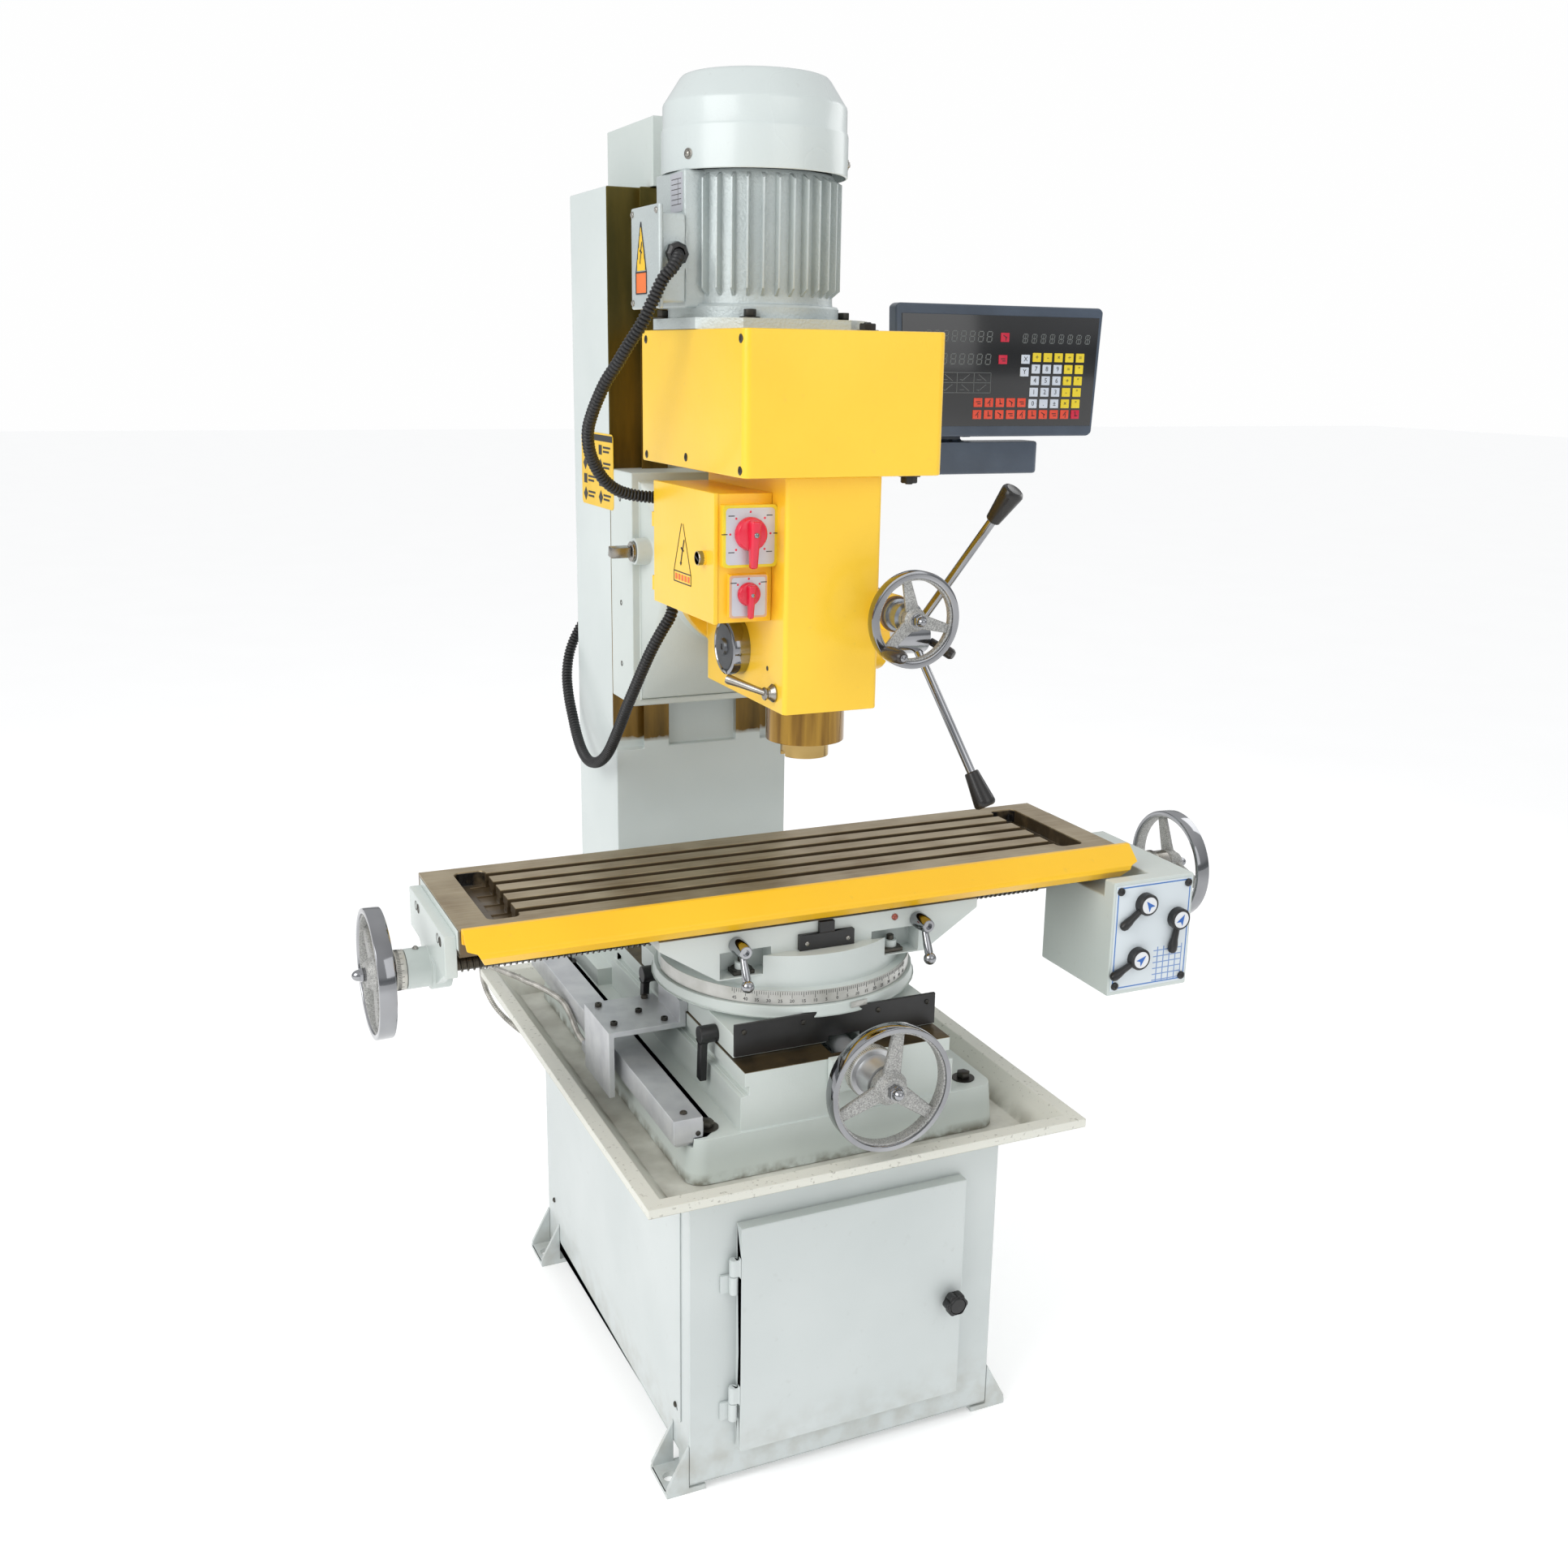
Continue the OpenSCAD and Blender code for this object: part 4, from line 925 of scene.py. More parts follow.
def card(name, body, place, wide, tall, material, thick=0.8):
    """A thin plate with softened corners, lying on the place's XY plane."""
    plate = bmesh.new()
    bmesh.ops.create_cube(plate, size=1, matrix=Matrix.Diagonal((wide, tall, thick, 1)))
    upright_edges = [e for e in plate.edges
                     if abs(e.verts[0].co.z - e.verts[1].co.z) > thick / 2]
    round_edges(plate, upright_edges, min(wide, tall) * 0.07, 4)
    bmesh.ops.transform(plate, matrix=place, verts=plate.verts)
    return settle(plate, name, body, material)


def strokes(name, body, place, lines, material, thick=0.5):
    """Printed bars: each line is x, y, length, width and turn on the place's XY plane."""
    print_shape = bmesh.new()
    for x, y, long, wide, turn in lines:
        bmesh.ops.create_cube(print_shape, size=1, matrix=place @ Matrix.Translation((x, y, 0))
                              @ Matrix.Rotation(radians(turn), 4, "Z")
                              @ Matrix.Diagonal((long, wide, thick, 1)))
    return settle(print_shape, name, body, material)


# A yellow notice with black pictogram bars on the column's left face.
notice_yellow = plain_finish("notice_yellow", colour(240, 196, 40), colour(228, 184, 34), 0.4,
                             0.002, 0.00001)
notice_place = facing((-140.3, 280, 1304), (-1, 0, 0))
card("column_notice", "stand", notice_place, 152, 108, notice_yellow)
bars = [(0, 47, 148, 9, 0)]
for row in range(4):
    for column_of in (-1, 1):
        middle = column_of * 37
        bars += [(middle - 20, 30 - row * 23, 15, 14, 45 * (row % 2)),
                 (middle + 10, 34 - row * 23, 34, 3, 0),
                 (middle + 7, 28 - row * 23, 28, 3, 0)]
strokes("column_notice_print", "stand", notice_place @ Matrix.Translation((0, 0, 0.4)), bars,
        ink)

# ----------------------------------------------------------------- carriage
# Cast slide on the column, flowing out into the round seat of the head; its
# square-ended lifting shaft stands out on the left.
softened("z_carriage", "head", enamel, 2.4, 2, 24)
crank = bmesh.new()
crank_place = facing((-141.2, 110, 1202), (-1, 0, 0))
turned_part(crank, [(-40, 0), (-40, 9), (0, 9), (0, 12.8), (0.8, 14), (6, 14), (6.8, 13),
                    (6.8, 0)], crank_place, 36)
square = bmesh.ops.create_cube(crank, size=1, matrix=Matrix.Translation((-163.5, 110, 1202))
                               @ Matrix.Rotation(radians(8), 4, "X")
                               @ Matrix.Diagonal((29, 15, 15, 1)))["verts"]
round_edges(crank, edges_of(square), 1.6, 2)
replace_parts(settle(crank, "lifting_shaft", "z_handle_shaft", ground_steel), "z_crank")
ring = bmesh.new()
band(ring, crank_place, -6, 1.6, 14.6, 18.6, 1, 48)
settle(ring, "lifting_bush", "head", enamel)
pins = bmesh.new()
for z in (1120, 1030, 1270):
    turned_part(pins, [(-1, 0), (-1, 4), (0.4, 4), (0.4, 2.2), (-0.3, 2), (-0.3, 0)],
                facing((-140, 176, z), (-1, 0, 0)), 18)
settle(pins, "gib_screws", "head", screw_steel)

# --------------------------------------------------------------------- head
# The head casting and the belt box above it, sprayed warm yellow with an
# orange-peel skin. Screws hold the box; a plug drains it and another fills it.
head_yellow = painted("head_enamel", colour(253, 208, 54), colour(248, 199, 44), 0.28, 0.0018,
                      0.00014)
softened("head_lower", "head", head_yellow, 2.4)
softened("head_box", "head", head_yellow, 2.2)
box_screws = bmesh.new()
for x, y, z, axis in ((-131, -250, 1490, (-1, 0, 0)), (-131, -250, 1338, (-1, 0, 0)),
                      (-131, -68, 1343, (-1, 0, 0)), (-131, 84, 1338, (-1, 0, 0)),
                      (-131, 84, 1490, (-1, 0, 0)), (139, -250, 1490, (1, 0, 0)),
                      (139, -250, 1338, (1, 0, 0)), (139, 84, 1490, (1, 0, 0)),
                      (139, 84, 1338, (1, 0, 0))):
    turned_part(box_screws, [(-1, 0), (-1, 5.6), (0.5, 5.4), (1.0, 4.2), (1.0, 2.4),
                             (0.2, 2.2), (0.2, 0)], facing((x, y, z), axis), 20)
settle(box_screws, "belt_box_screws", "head", screw_steel)
plugs = bmesh.new()
for x, y, z, up in ((106, -235, 1329, -1), (85, -150, 1502, 1)):
    at = facing((x, y, z), (0, 0, up))
    turned_part(plugs, [(0, 0), (0, 15), (2.2, 15), (2.6, 14), (2.6, 11), (9.5, 11),
                        (10.5, 10), (10.5, 0)], at, 8)
    turned_part(plugs, [(10, 0), (10, 5), (12, 4.4), (12, 0)], at, 20)
settle(plugs, "oil_plugs", "head", knob_black)

# ----------------------------------------------------------- electrical box
# Folded sheet box on the head's left side, hinged door with a slotted knob,
# and two rotary switches behind red handles on printed plates.
softened("elec_box", "head", head_yellow, 1.2)
softened("elec_door", "elec_cover", head_yellow, 1)
turned_piece("door_bolt", "elec_cover", chrome, [(0, 0), (0, 7.4), (3, 7.4), (3.4, 9),
    (10, 9.2), (11, 8.4), (11, 0)], facing((-145, -172, 1226), (-1, 0, 0)), 28)
# The bolt's slot is not cut: a thin black bar on its face stands for the shade in it, painted shade.
bolt_slot = bmesh.new()
bmesh.ops.create_cube(bolt_slot, size=1, matrix=Matrix.Translation((-156.1, -172, 1226))
                      @ Matrix.Rotation(radians(25), 4, "X") @ Matrix.Diagonal((0.4, 14, 2, 1)))
settle(bolt_slot, "door_bolt_slot_painted_shade", "elec_cover", ink)
caution = (facing((-145.2, -92, 1226), (-1, 0, 0)) @ Matrix.Scale(0.75, 4, (1, 0, 0))
           @ Matrix.Scale(0.75, 4, (0, 1, 0)))
strokes("caution_outline", "elec_cover", caution, [
    (-22.5, 4, 92, 1.8, 66), (22.5, 4, 92, 1.8, -66), (0, -38, 84, 1.8, 0),
    (0, -56, 84, 1.8, 0), (-41.5, -47, 1.8, 19, 0), (41.5, -47, 1.8, 19, 0),
    (5, 10, 20, 4, 65), (0, 2, 14, 3.4, -20), (-3, -10, 22, 3.6, 70), (-7, -22, 7, 6, 45)],
    ink)
orange_print = plain_finish("orange_print", colour(238, 120, 50), colour(226, 108, 42), 0.4,
                            0.002, 0.00001)
strokes("caution_bars", "elec_cover", caution, [
    (-30, -47, 9, 10, 0), (-15, -47, 9, 10, 0), (0, -47, 9, 10, 0), (15, -47, 9, 10, 0),
    (30, -47, 9, 10, 0)], orange_print)
plate_grey = plain_finish("switch_plate", colour(205, 206, 212), colour(192, 193, 200), 0.34,
                          0.002, 0.00001, metal=0.3)
bright_rim = plain_finish("switch_rim", colour(236, 214, 60), colour(222, 198, 40), 0.32,
                          0.002, 0.00002)
pink_rim = plain_finish("small_rim", colour(214, 176, 148), colour(200, 160, 132), 0.34,
                        0.002, 0.00002)
switch_red = plain_finish("switch_red", colour(222, 30, 62), colour(202, 20, 50), 0.26,
                          0.002, 0.00002, coat=0.4)
for name, body, node, z, wide, plane, rim_finish, radius, steps in (
        ("upper", "switch_upper", "switch_main", 1259, 72, -214, bright_rim, 21,
         (0, 45, 90, 135, -45, -90, -135)),
        ("lower", "switch_lower", "switch_aux", 1184, 50, -210, pink_rim, 15, (0, 50, -50))):
    middle = z - 3
    at = facing((-102, plane, middle), (0, -1, 0))
    card(name + "_switch_rim", "head", at, wide, wide * 1.06, rim_finish, 2.4)
    card(name + "_switch_plate", "head", at @ Matrix.Translation((0, 0, 0.8)), wide * 0.9,
         wide * 0.96, plate_grey, 1.6)
    shaft_at = facing((-102, plane, z), (0, -1, 0))
    dots = bmesh.new()
    for turn in steps:
        bmesh.ops.create_uvsphere(dots, u_segments=10, v_segments=6, radius=1.5,
                                  matrix=shaft_at @ Matrix.Rotation(radians(turn), 4, "Z")
                                  @ Matrix.Translation((0, radius * 1.28, 1.6))
                                  @ Matrix.Diagonal((1, 1, 0.4, 1)))
    settle(dots, name + "_switch_dots", "head", switch_red)
    strokes(name + "_switch_marks", "head", shaft_at @ Matrix.Translation((0, 0, 1.6)),
            [(radius * 1.5 * sin(radians(t)) + 3 * (1 if t > 0 else -1),
              radius * 1.5 * cos(radians(t)), 8, 1.1, 0) for t in steps if t], ink,
            0.3)
    handle = bmesh.new()
    turned_part(handle, [(0.4, 0), (0.4, radius), (1.6, radius), (radius * 0.36, radius * 0.97),
                         (radius * 0.46, radius * 0.9), (radius * 0.5, radius * 0.8),
                         (radius * 0.5, 0)], shaft_at, 40)
    grip = bmesh.ops.create_cube(handle, size=1)["verts"]
    for vert in grip:
        vert.co.x *= radius * (0.62 if vert.co.y > 0 else 0.46)
        vert.co.y = radius * 0.82 if vert.co.y > 0 else -radius * 2.0
        vert.co.z = radius * (0.3 if vert.co.z < 0 else (1.12 if vert.co.y > 0 else 0.8))
    bevelled = round_edges(handle, edges_of(grip), radius * 0.16, 4)
    moved = {v for f in bevelled["faces"] for v in f.verts} | {v for v in grip if v.is_valid}
    bmesh.ops.transform(handle, matrix=shaft_at, verts=list(moved))
    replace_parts(settle(handle, name + "_switch_handle", body, switch_red), node)
    cap = bmesh.new()
    pan_screw(cap, (-102, plane - radius * 1.02, z), (0, -1, 0), radius * 0.16)
    settle(cap, name + "_switch_screw", body, chrome)

# ------------------------------------------------- spring drum, quill clamp
# Polished return-spring drum with a dark recessed face, and the little
# clamping lever with a ringed end that locks the quill.
drum_place = facing((-66.2, -97, 1098), (-1, 0, 0))
drum_piece = turned_piece("return_spring_drum", "head", chrome, [(0, 0), (0, 38),
    (18, 38), (21, 37), (22, 35.5), (22.4, 33), (21, 31.5), (20, 31), (20, 0)], drum_place, 64)
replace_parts(drum_piece, "spring_drum")
turned_piece("drum_face", "head", plain_finish("drum_dark", colour(92, 95, 99),
    colour(74, 76, 80), 0.34, 0.002, 0.00003, metal=0.8), [(19, 0), (19, 30.8),
    (21, 30.8), (22.2, 29.6), (22.2, 12), (24, 11), (25.5, 9.5), (25.5, 4), (24, 3.6), (24, 0)],
    drum_place, 48)
clamp = bmesh.new()
turned_part(clamp, [(-12, 0), (-12, 6), (-0.2, 6), (0, 11.4), (2, 12), (4.4, 10), (7, 7.6),
                    (10, 7.2), (12.6, 8.6), (14, 8), (14, 0)],
            facing((-66.2, -212, 1056), (-1, 0, 0)), 28)
lever_way = Vector((-0.683, 0.683, 0.259))
turned_part(clamp, [(2, 0), (2, 4.2), (12, 4.4), (40, 5.4), (50, 6.2), (54, 6.6), (57, 6),
                    (57.6, 4.6), (57.6, 2.6), (55, 2.4), (55, 0)],
            facing((-76, -212, 1056), lever_way), 24)
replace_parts(settle(clamp, "quill_clamp_lever", "quill_clamp", ground_steel),
            "quill_lock")
turned_piece("head_dowel", "head", screw_steel, [(-1, 0), (-1, 3.4), (0.3, 3.2),
    (0.3, 0)], facing((-66, -190, 1084), (-1, 0, 0)), 14)

# --------------------------------------------------------- quill and spindle
# Ground steel sleeve with a film of oil, and the spindle nose with
# its driving slot and taper. The golden tone of both is painted
# reflection of the yellow head in the oil.
oil_and_reflection, shader, place = finish("steel_oil_and_reflection", Metallic=1.0, Coat_Weight=0.5, Coat_Roughness=0.08)
vertical_streaks = place.noise(0.012, 4, (1, 1, 0.06))
# Two golden tones in vertical streaks: the gold is painted reflection of the yellow head.
vertical_streaks.over(0.3, 0.7).mix(colour(176, 136, 52), colour(112, 78, 24)).to(shader, "Base Color")
(0.14 + vertical_streaks * 0.16).to(shader, "Roughness")
vertical_streaks.bump(0.00002).to(shader, "Normal")
softened("quill", "quill_body", oil_and_reflection, 1, 2, 40)
# The spindle's golden tone is painted reflection of the yellow head too.
softened("spindle", "spindle_body", plain_finish(
    "spindle_steel_with_painted_reflection", colour(188, 160, 104), colour(146, 116, 62), 0.2, 0.004, 0.00001,
    metal=1.0), 0.8, 2, 40)

# --------------------------------------------------------------- quill feeds
# Worm housing on the head's right, the three-armed coarse feed handle with
# black grips, and the fine feed hand wheel on its own short shaft in front.
softened("feed_housing", "head", head_yellow, 2.4)
grip_black = plain_finish("grip_black", colour(26, 25, 25), colour(42, 40, 39), 0.28, 0.003,
                          0.00004)
axle = facing((138.4, -97, 1098), (1, 0, 0))
hub = bmesh.new()
turned_part(hub, [(-168, 0), (-168, 16), (-108, 16), (-108, 10), (0, 10), (0, 31), (1, 32),
                  (18, 32), (19.6, 30.4), (20, 27), (22, 26), (70, 26), (72.5, 24.6),
                  (73.6, 22), (73.6, 0)], axle, 48)
turned_part(hub, [(-228, 0), (-228, 10), (-168, 10), (-168, 0)], axle, 24)
for k in range(3):
    out = (Matrix.Translation((193, -97, 1098)) @ Matrix.Rotation(radians(34 + 120 * k), 4, "X")
           @ Matrix.Rotation(radians(15), 4, "Y"))
    turned_part(hub, [(16, 0), (16, 6.2), (214, 6.2), (214, 0)], out, 24)
star = settle(hub, "coarse_feed_hub", "coarse_feed", chrome)
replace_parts(star, "star_handle")
grips = bmesh.new()
for k in range(3):
    out = (Matrix.Translation((193, -97, 1098)) @ Matrix.Rotation(radians(34 + 120 * k), 4, "X")
           @ Matrix.Rotation(radians(15), 4, "Y"))
    turned_part(grips, [(209, 0), (209, 9), (210.4, 10.2), (252, 15.2), (257, 15.6), (260.2, 14),
                        (261.8, 10.8), (261.2, 7), (261, 0)], out, 32)
turned_part(grips, [(20, 0), (20, 5.4), (40, 6), (44, 8.2), (56, 8), (59.4, 6), (60, 0)],
            Matrix.Translation((206, -97, 1098)) @ Matrix.Rotation(radians(118), 4, "X")
            @ Matrix.Rotation(radians(30), 4, "Y"), 24)
settle(grips, "coarse_feed_grips", "coarse_feed", grip_black)
fine_place = facing((78, -304, 1158), (0, -1, 0))
rim_piece = hand_wheel("fine_wheel", "fine_feed", fine_place, 61, 12, 15, 14, 15, 17, 35)
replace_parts(rim_piece, "fine_wheel")
turned_piece("fine_sleeve", "fine_feed", plain_finish("sleeve_steel", colour(166, 172, 180),
    colour(140, 146, 154), 0.28, 0.003, 0.00003, metal=0.85), [(-62, 0), (-62, 9),
    (-41, 9), (-40.6, 19), (-38, 20.6), (-30, 20.6), (-29.4, 17.4), (-12, 17.4), (-11.4, 20),
    (-6, 20), (-4, 16), (1, 14.6), (1, 0)], fine_place, 40)
# The flange behind the fine wheel is coloured brown for the wheel's shadow on it: painted shadow, not its own
# colour.
turned_piece("feed_flange", "head", plain_finish("flange_painted_shadow_brown", colour(128, 98, 66),
    colour(100, 74, 48), 0.4, 0.002, 0.00006, metal=0.4), [(0, 0), (0, 22), (1, 23),
    (4, 23), (5, 22), (5, 9.6), (4, 9.6), (4, 0)], facing((78, -262, 1158), (0, -1, 0)), 40)
crank_grip = bmesh.new()
grip_at = facing((37, -318, 1121), (0, -1, 0))
turned_part(crank_grip, [(0, 0), (0, 6.4), (3, 7.4), (14, 9.4), (28, 9.8), (40, 8.4), (44, 7),
                         (45.4, 5.4), (45.4, 0)], grip_at, 28)
settle(crank_grip, "fine_grip", "fine_feed", plain_finish(
    "grip_brown", colour(52, 46, 42), colour(74, 66, 58), 0.24, 0.003, 0.00003))
grip_end = bmesh.new()
pan_screw(grip_end, (37, -363.2, 1121), (0, -1, 0), 4.6)
turned_part(grip_end, [(-5, 0), (-5, 7), (0.4, 7), (0.4, 0)], grip_at, 20)
settle(grip_end, "fine_grip_screw", "fine_feed", chrome)

# -------------------------------------------------------------------- motor
# Finned aluminium motor on a flange, in rough silver-grey paint, bolted to
# the belt box; smooth pressed fan cover on top, terminal box on the left.
motor_paint, shader, place = finish("motor_paint", Metallic=0.25, Coat_Weight=0.3,
                                    Coat_Roughness=0.18)
pits = place.noise(0.0035, 3)
drift = place.noise(0.1, 3)
drift.over(0.3, 0.7).mix(colour(196, 204, 203), colour(180, 189, 189)).to(shader, "Base Color")
(0.36 + pits * 0.16).to(shader, "Roughness")
pits.bump(0.0009, 0.9).to(shader, "Normal")
stack = facing((-18, -20, 0), (0, 0, 1))
motor = bmesh.new()
turned_part(motor, [(1514, 0), (1514, 111), (1515.4, 112), (1530, 112), (1533, 110),
                    (1534, 104), (1538, 103.4), (1690, 103.4), (1693, 102), (1693, 0)],
            stack, 96)
plate = bmesh.ops.create_cube(motor, size=1, matrix=Matrix.Translation((-11, -23.5, 1509.1))
                              @ Matrix.Diagonal((240, 247, 13.8, 1)))["verts"]
corner_edges = [e for e in {e for v in plate for e in v.link_edges}
                if abs(e.verts[0].co.z - e.verts[1].co.z) > 10]
round_edges(motor, corner_edges, 46, 1)
for k in range(36):
    angle = 10 * k + 3
    if 150 < angle < 212:
        continue
    fin = bmesh.ops.create_cube(motor, size=1)["verts"]
    for vert in fin:
        outer = vert.co.x > 0
        top = vert.co.z > 0
        vert.co.x = 115.4 if outer else 101
        vert.co.y *= 2.6 if outer else 4.4
        vert.co.z = (1690 if top else 1541) if not outer else (1682 if top else 1552)
    edges = [e for e in {e for v in fin for e in v.link_edges}
             if all(v.co.x > 110 for v in e.verts)]
    made = round_edges(motor, edges, 0.9, 2)
    moved = {v for f in made["faces"] for v in f.verts} | {v for v in fin if v.is_valid}
    bmesh.ops.transform(motor, verts=list(moved),
                        matrix=stack @ Matrix.Rotation(radians(angle), 4, "Z"))
for low, high, z0, z1, y0, y1 in ((-134, -78, 1528, 1692, -72, 32),
                                  (-126, -80, 1516, 1530, -40, 0)):
    pad = bmesh.ops.create_cube(motor, size=1, matrix=Matrix.Translation(
        ((low + high) / 2, (y0 + y1) / 2, (z0 + z1) / 2))
        @ Matrix.Diagonal((high - low, y1 - y0, z1 - z0, 1)))["verts"]
    round_edges(motor, edges_of(pad), 3, 3)
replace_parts(settle(motor, "motor_casting", "head", motor_paint), "motor_body")
flange_bolts = bmesh.new()
for angle in (28, 62, 118, 152, 208, 242, 298, 332):
    if angle in (62, 152, 242, 332):
        hex_bolt(flange_bolts, (-18 + 119 * cos(radians(angle + 3)),
                                -20 + 119 * sin(radians(angle + 3)), 1516), (0, 0, 1), 14, 9,
                 angle)
settle(flange_bolts, "flange_bolts", "head", screw_steel)
cover_paint = painted("fan_cover_enamel", colour(206, 214, 212), colour(196, 204, 203), 0.22,
                      0.0035, 0.00012)
cover = bmesh.new()
turned_part(cover, [
    (1692, 117.6), (1692, 119.2), (1693, 120), (1741, 120), (1744, 119.4), (1746, 118.2),
    (1773, 118), (1776, 117.2), (1778, 115.6), (1806, 97), (1809.6, 93.6), (1811, 90),
    (1811, 78), (1809, 77), (1808.6, 88), (1805, 92), (1775, 114.4), (1771, 115.8),
    (1744, 116.2), (1741, 117.6), (1692, 117.6)], stack, 96)
for inner, outer in ((66, 70), (54, 58), (42, 46), (30, 34), (0.0, 22)):
    if inner:
        band(cover, stack, 1806.6, 1810, inner, outer, 0.8, 64)
    else:
        turned_part(cover, [(1806.6, 0), (1806.6, 21), (1807.4, 22), (1809.4, 22), (1810, 21),
                            (1810, 0)], stack, 40)
for k in range(8):
    rib = bmesh.ops.create_cube(cover, size=1, matrix=stack @ Matrix.Rotation(
        radians(22 + 45 * k), 4, "Z") @ Matrix.Translation((50, 0, 1807.4))
        @ Matrix.Diagonal((60, 4, 2.4, 1)))["verts"]
    round_edges(cover, edges_of(rib), 0.5, 1)
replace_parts(settle(cover, "fan_cowl", "head", cover_paint), "fan_cover")
fan = bmesh.new()
turned_part(fan, [(1694, 0), (1694, 100), (1697, 100), (1700, 40), (1740, 26), (1742, 0)],
            stack, 40)
for k in range(7):
    bmesh.ops.create_cube(fan, size=1, matrix=stack @ Matrix.Rotation(2 * pi * k / 7, 4, "Z")
                          @ Matrix.Translation((64, 0, 1720)) @ Matrix.Diagonal((70, 3, 52, 1)))
settle(fan, "cooling_fan", "head", knob_black)
cowl_screws = bmesh.new()
for angle in (204, 339, 90):
    out = Matrix.Rotation(radians(angle), 3, "Z") @ Vector((1, 0, 0))
    at = Vector((-18, -20, 1710)) + out * 119.6
    turned_part(cowl_screws, [(0, 0), (0, 6.6), (1.2, 6.6), (1.6, 5), (1.6, 0)],
                facing(at, out), 20)
    pan_screw(cowl_screws, at + out * 1.2, out, 4)
settle(cowl_screws, "cowl_screws", "head", ground_steel)

# ------------------------------------------------------------- terminal box
# Cast box with a screwed lid and a black cable gland, with a generic hazard
# triangle on the lid; above it the blank rating plate.
softened("terminal_box", "head", motor_paint, 2.6, 3)
lid_screws = bmesh.new()
for y in (-76, 14):
    for z in (1534, 1642):
        pan_screw(lid_screws, (-172, y, z), (-1, 0, 0), 4)
settle(lid_screws, "lid_screws", "head", ground_steel)
turned_piece("cable_gland", "head", knob_black, [(0, 8.6), (0, 14), (3, 14.4),
    (9, 14.4), (10.4, 13), (12.4, 11.4), (12.4, 8.6), (0, 8.6)], facing((-148, -78, 1592),
    (0, -1, -0.1)), 8)
hazard = facing((-172.2, -18, 1587), (-1, 0, 0))
strokes("hazard_card_box", "head", hazard @ Matrix.Translation((0, 9, 0)),
        [(0, -38, 40, 25, 0)], orange_print, 0.3)
strokes("hazard_card_face", "head", hazard @ Matrix.Translation((0, 9, 0.3)), [
    (0, -16, 30, 14, 0), (0, -2, 22, 14, 0), (0, 12, 13, 14, 0), (0, 24, 6, 10, 0)],
    notice_yellow, 0.3)
strokes("hazard_card_print", "head", hazard @ Matrix.Translation((0, 9, 0.5)), [
    (-10, 5, 64, 1.6, 72), (10, 5, 64, 1.6, -72), (0, -25, 40, 1.6, 0), (0, -51, 40, 1.6, 0),
    (2, 6, 12, 2.6, 66), (0, 0, 9, 2.2, -20), (-1.6, -8, 14, 2.4, 72), (-20, -38, 1.6, 26, 0),
    (20, -38, 1.6, 26, 0)], ink, 0.4)
rating = facing((-134.2, -45, 1666), (-1, 0, 0))
card("rating_plate", "head", rating, 42, 46, plate_grey, 0.8)
strokes("rating_plate_lines", "head", rating @ Matrix.Translation((0, 0, 0.4)),
        [(0, 16 - 6 * k, 34, 0.8, 0) for k in range(6)] + [(6, 1, 30, 0.6, 90)],
        screw_steel, 0.3)

# ------------------------------------------------------------- readout, arm
# Slate-blue arm from the column, and the readout hinged on it: moulded
# housing, glossy black front, segment displays and rubber keys.
slate = plain_finish("slate_paint", colour(70, 82, 98), colour(60, 71, 86), 0.32, 0.0018,
                     0.00008, coat=0.3)
softened("dro_arm", "stand", slate, 4)
softened("dro_display", "readout", slate, 3.2, 3)
face_black = plain_finish("glossy_black", colour(16, 17, 19), colour(23, 24, 27), 0.16, 0.004,
                          0.00001, coat=0.6)
front = facing((0, 149.8, 0), (0, -1, 0))
panel = bmesh.new()
corners = [panel.verts.new(c) for c in ((300, 1371, 0), (640, 1371, 0), (646, 1536, 0),
                                        (294, 1536, 0))]
panel.faces.new(corners)
grown = bmesh.ops.extrude_face_region(panel, geom=panel.faces[:])["geom"]
bmesh.ops.translate(panel, vec=(0, 0, 0.9),
                    verts=[g for g in grown if isinstance(g, bmesh.types.BMVert)])
round_edges(panel, panel.edges, 0.35, 2)
bmesh.ops.transform(panel, matrix=front, verts=panel.verts)
settle(panel, "readout_front", "readout", face_black)
white_key = plain_finish("white_key", colour(212, 220, 232), colour(200, 209, 222), 0.4,
                         0.002, 0.00002)
yellow_key = plain_finish("yellow_key", colour(236, 212, 44), colour(224, 198, 36), 0.4,
                          0.002, 0.00002)
orange_key = plain_finish("orange_key", colour(228, 78, 52), colour(214, 66, 42), 0.4,
                          0.002, 0.00002)
crimson_key = plain_finish("crimson_key", colour(206, 24, 62), colour(190, 18, 52), 0.4,
                           0.002, 0.00002)
key_sets = {"white": [], "yellow": [], "orange": [], "crimson": []}
signs = []
pad_signs = ("789", "456", "123", "0.±")
for row in range(5):
    for col in range(5):
        x, z = 533.5 + 20 * col - row * 0.9, 1475 - 17.5 * row
        white = row > 0 and col < 3
        key_sets["white" if white else "yellow"].append((x, z))
        signs.append((pad_signs[row - 1][col] if white else "+-×÷=+"[
            (row + col) % 5] if col == 3 or row == 0 else "°", x, z))
for x, z, sign in ((513, 1472, "X"), (512, 1453, "Y")):
    key_sets["white"].append((x, z))
    signs.append((sign, x, z))
for k in range(5):
    key_sets["orange"].append((431 + 19.6 * k, 1406.5))
for k in range(9):
    key_sets["orange"].append((430 + 20 * k, 1388.5))
key_sets["crimson"] += [(610, 1388.5), (474, 1504), (472, 1471)]
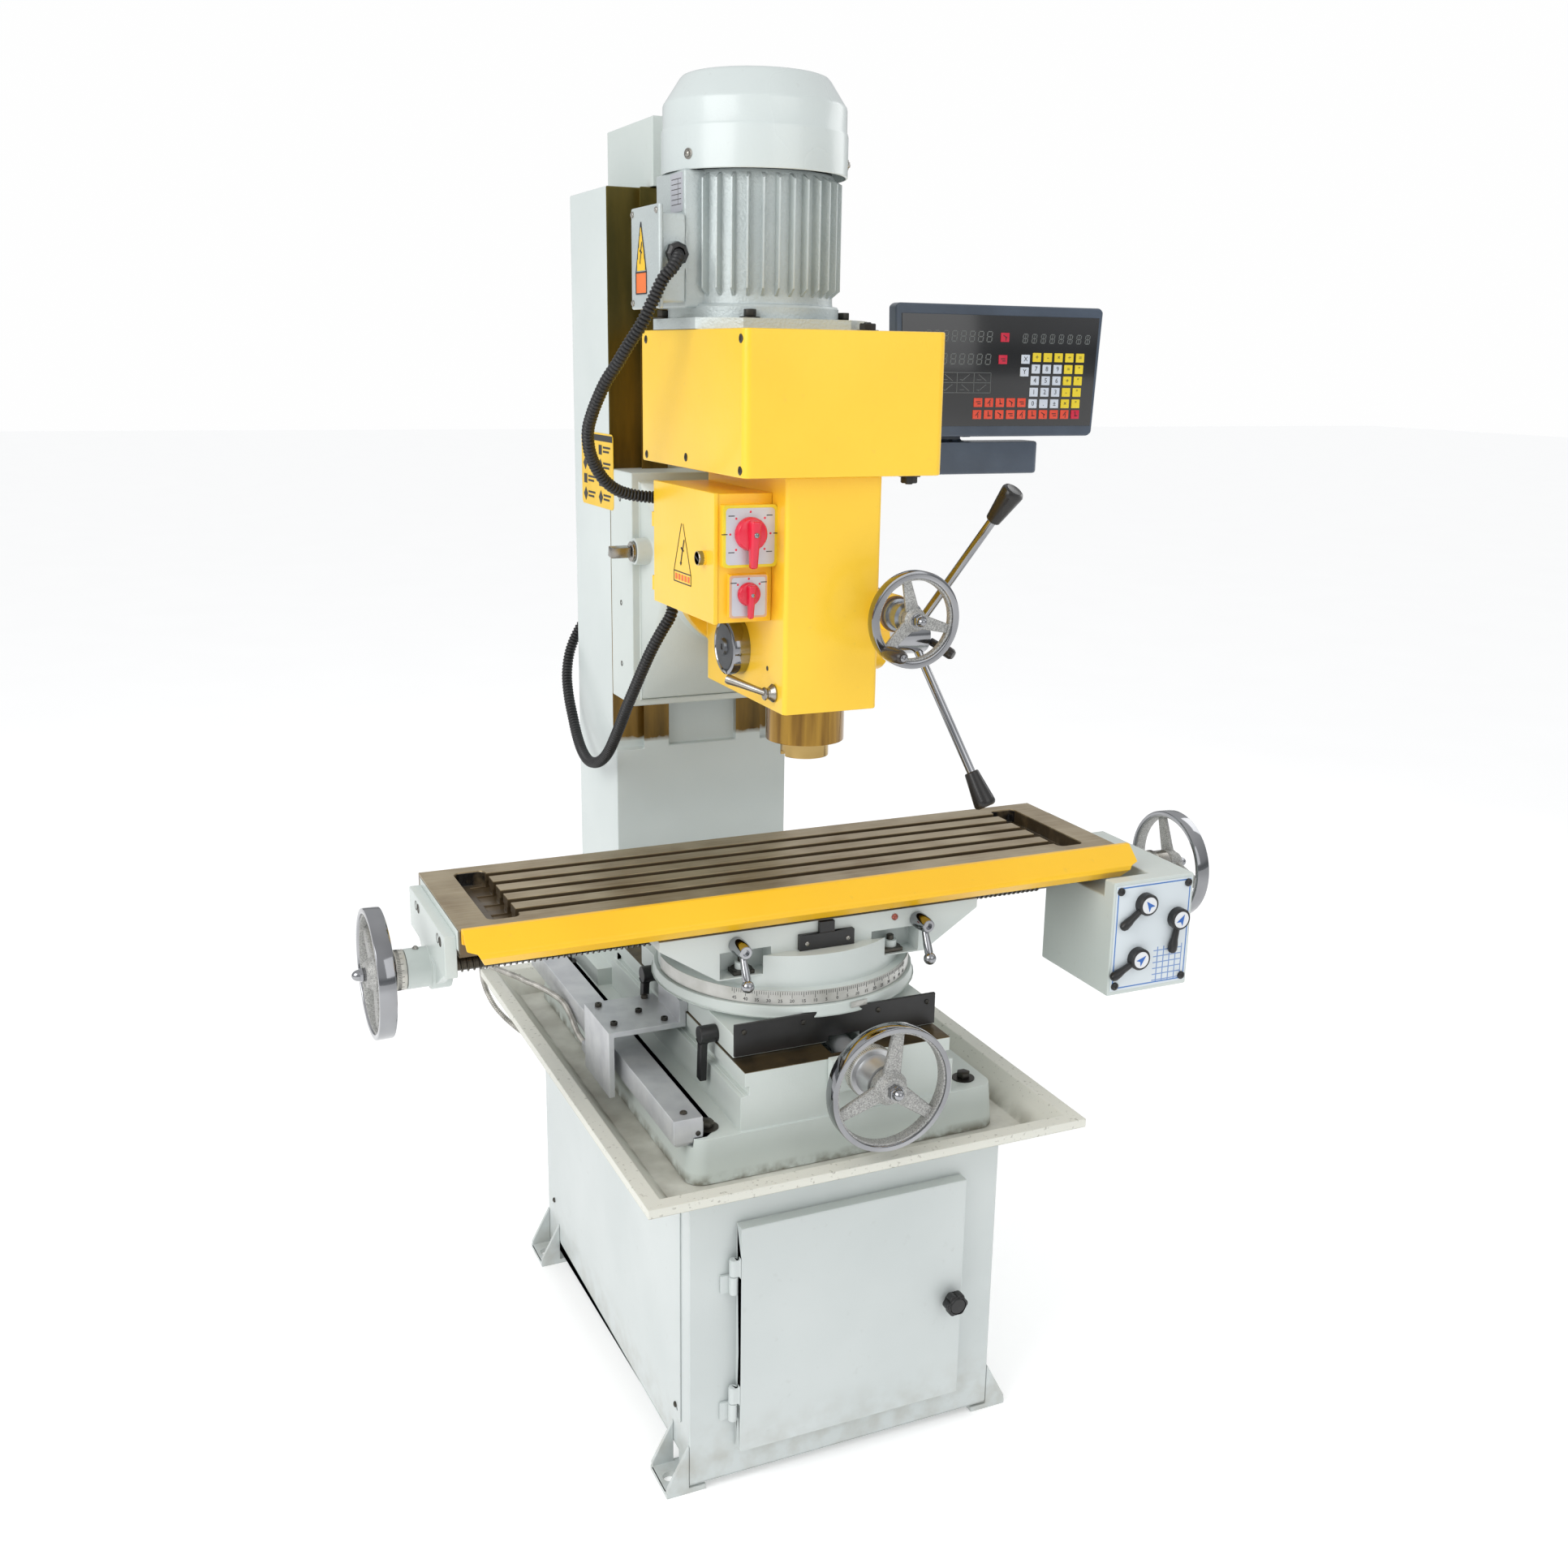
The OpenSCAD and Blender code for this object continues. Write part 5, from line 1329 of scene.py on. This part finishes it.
for name, material in (("white", white_key), ("yellow", yellow_key), ("orange", orange_key),
                       ("crimson", crimson_key)):
    keys = bmesh.new()
    for x, z in key_sets[name]:
        cap = bmesh.ops.create_cube(keys, size=1, matrix=front @ Matrix.Translation(
            (x, z, 1.2)) @ Matrix.Diagonal((15.4, 13.6, 1.6, 1)))["verts"]
        round_edges(keys, edges_of(cap), 0.7, 2)
    settle(keys, name + "_keys", "readout", material)
key_print = bmesh.new()
for sign, x, z in signs:
    key_print.from_mesh(lettering(sign, 7.4, front @ Matrix.Translation((x, z, 2.1)), 0.2))
for k, (x, z) in enumerate(key_sets["orange"] + key_sets["crimson"]):
    for length, width, turn, dx, dz in ((8, 1.3, 50 * (k % 4), 0, 1.2), (6, 1.2, 90 * (k % 2),
                                                                        1.5, -2)):
        bmesh.ops.create_cube(key_print, size=1, matrix=front @ Matrix.Translation(
            (x + dx, z + dz, 2.1)) @ Matrix.Rotation(radians(turn), 4, "Z")
            @ Matrix.Diagonal((length, width, 0.2, 1)))
settle(key_print, "key_print", "readout", ink)
unlit = plain_finish("unlit_segment", colour(108, 112, 112), colour(92, 96, 96), 0.4, 0.002,
                     0.00001)
segments = bmesh.new()


def figure_eight(x, z, wide, tall, extra):
    """The seven bars of one display figure, with two more where it has them."""
    bars = [(0, tall / 2, wide * 0.8, 1.5, 0), (0, 0, wide * 0.8, 1.5, 0),
            (0, -tall / 2, wide * 0.8, 1.5, 0)]
    for side in (-1, 1):
        for level in (-1, 1):
            bars.append((side * wide / 2, level * tall / 4, tall * 0.4, 1.5, 82))
    if extra:
        bars += [(0, tall / 4, tall * 0.36, 1.1, 82), (0, -tall / 4, tall * 0.36, 1.1, 82)]
    for dx, dz, length, width, turn in bars:
        bmesh.ops.create_cube(segments, size=1, matrix=front @ Matrix.Translation(
            (x + dx + dz * 0.08, z + dz, 1.0)) @ Matrix.Rotation(radians(turn), 4, "Z")
            @ Matrix.Diagonal((length, width, 0.3, 1)))


for k in range(8):
    figure_eight(339 + 15.4 * k, 1504.5, 8.4, 15, False)
    figure_eight(338 + 15.4 * k, 1471, 8.4, 15, False)
    figure_eight(511 + 16.4 * k, 1503, 8, 13, True)
settle(segments, "display_segments", "readout", unlit)
drawn = [(392.5, z, 119, 0.8, 0) for z in (1451, 1436, 1421)]
drawn += [(333 + 29.8 * k, 1436, 30, 0.8, 90) for k in range(5)]
for k in range(4):
    for z in (1443.5, 1428.5):
        drawn += [(348 + 29.8 * k, z, 17, 0.8, 35 if (k + (z > 1436)) % 2 else -35),
                  (342 + 29.8 * k, z - 3, 8, 0.7, 0)]
strokes("readout_outlines", "readout", front @ Matrix.Translation((0, 0, 1.0)), drawn, unlit,
        0.2)
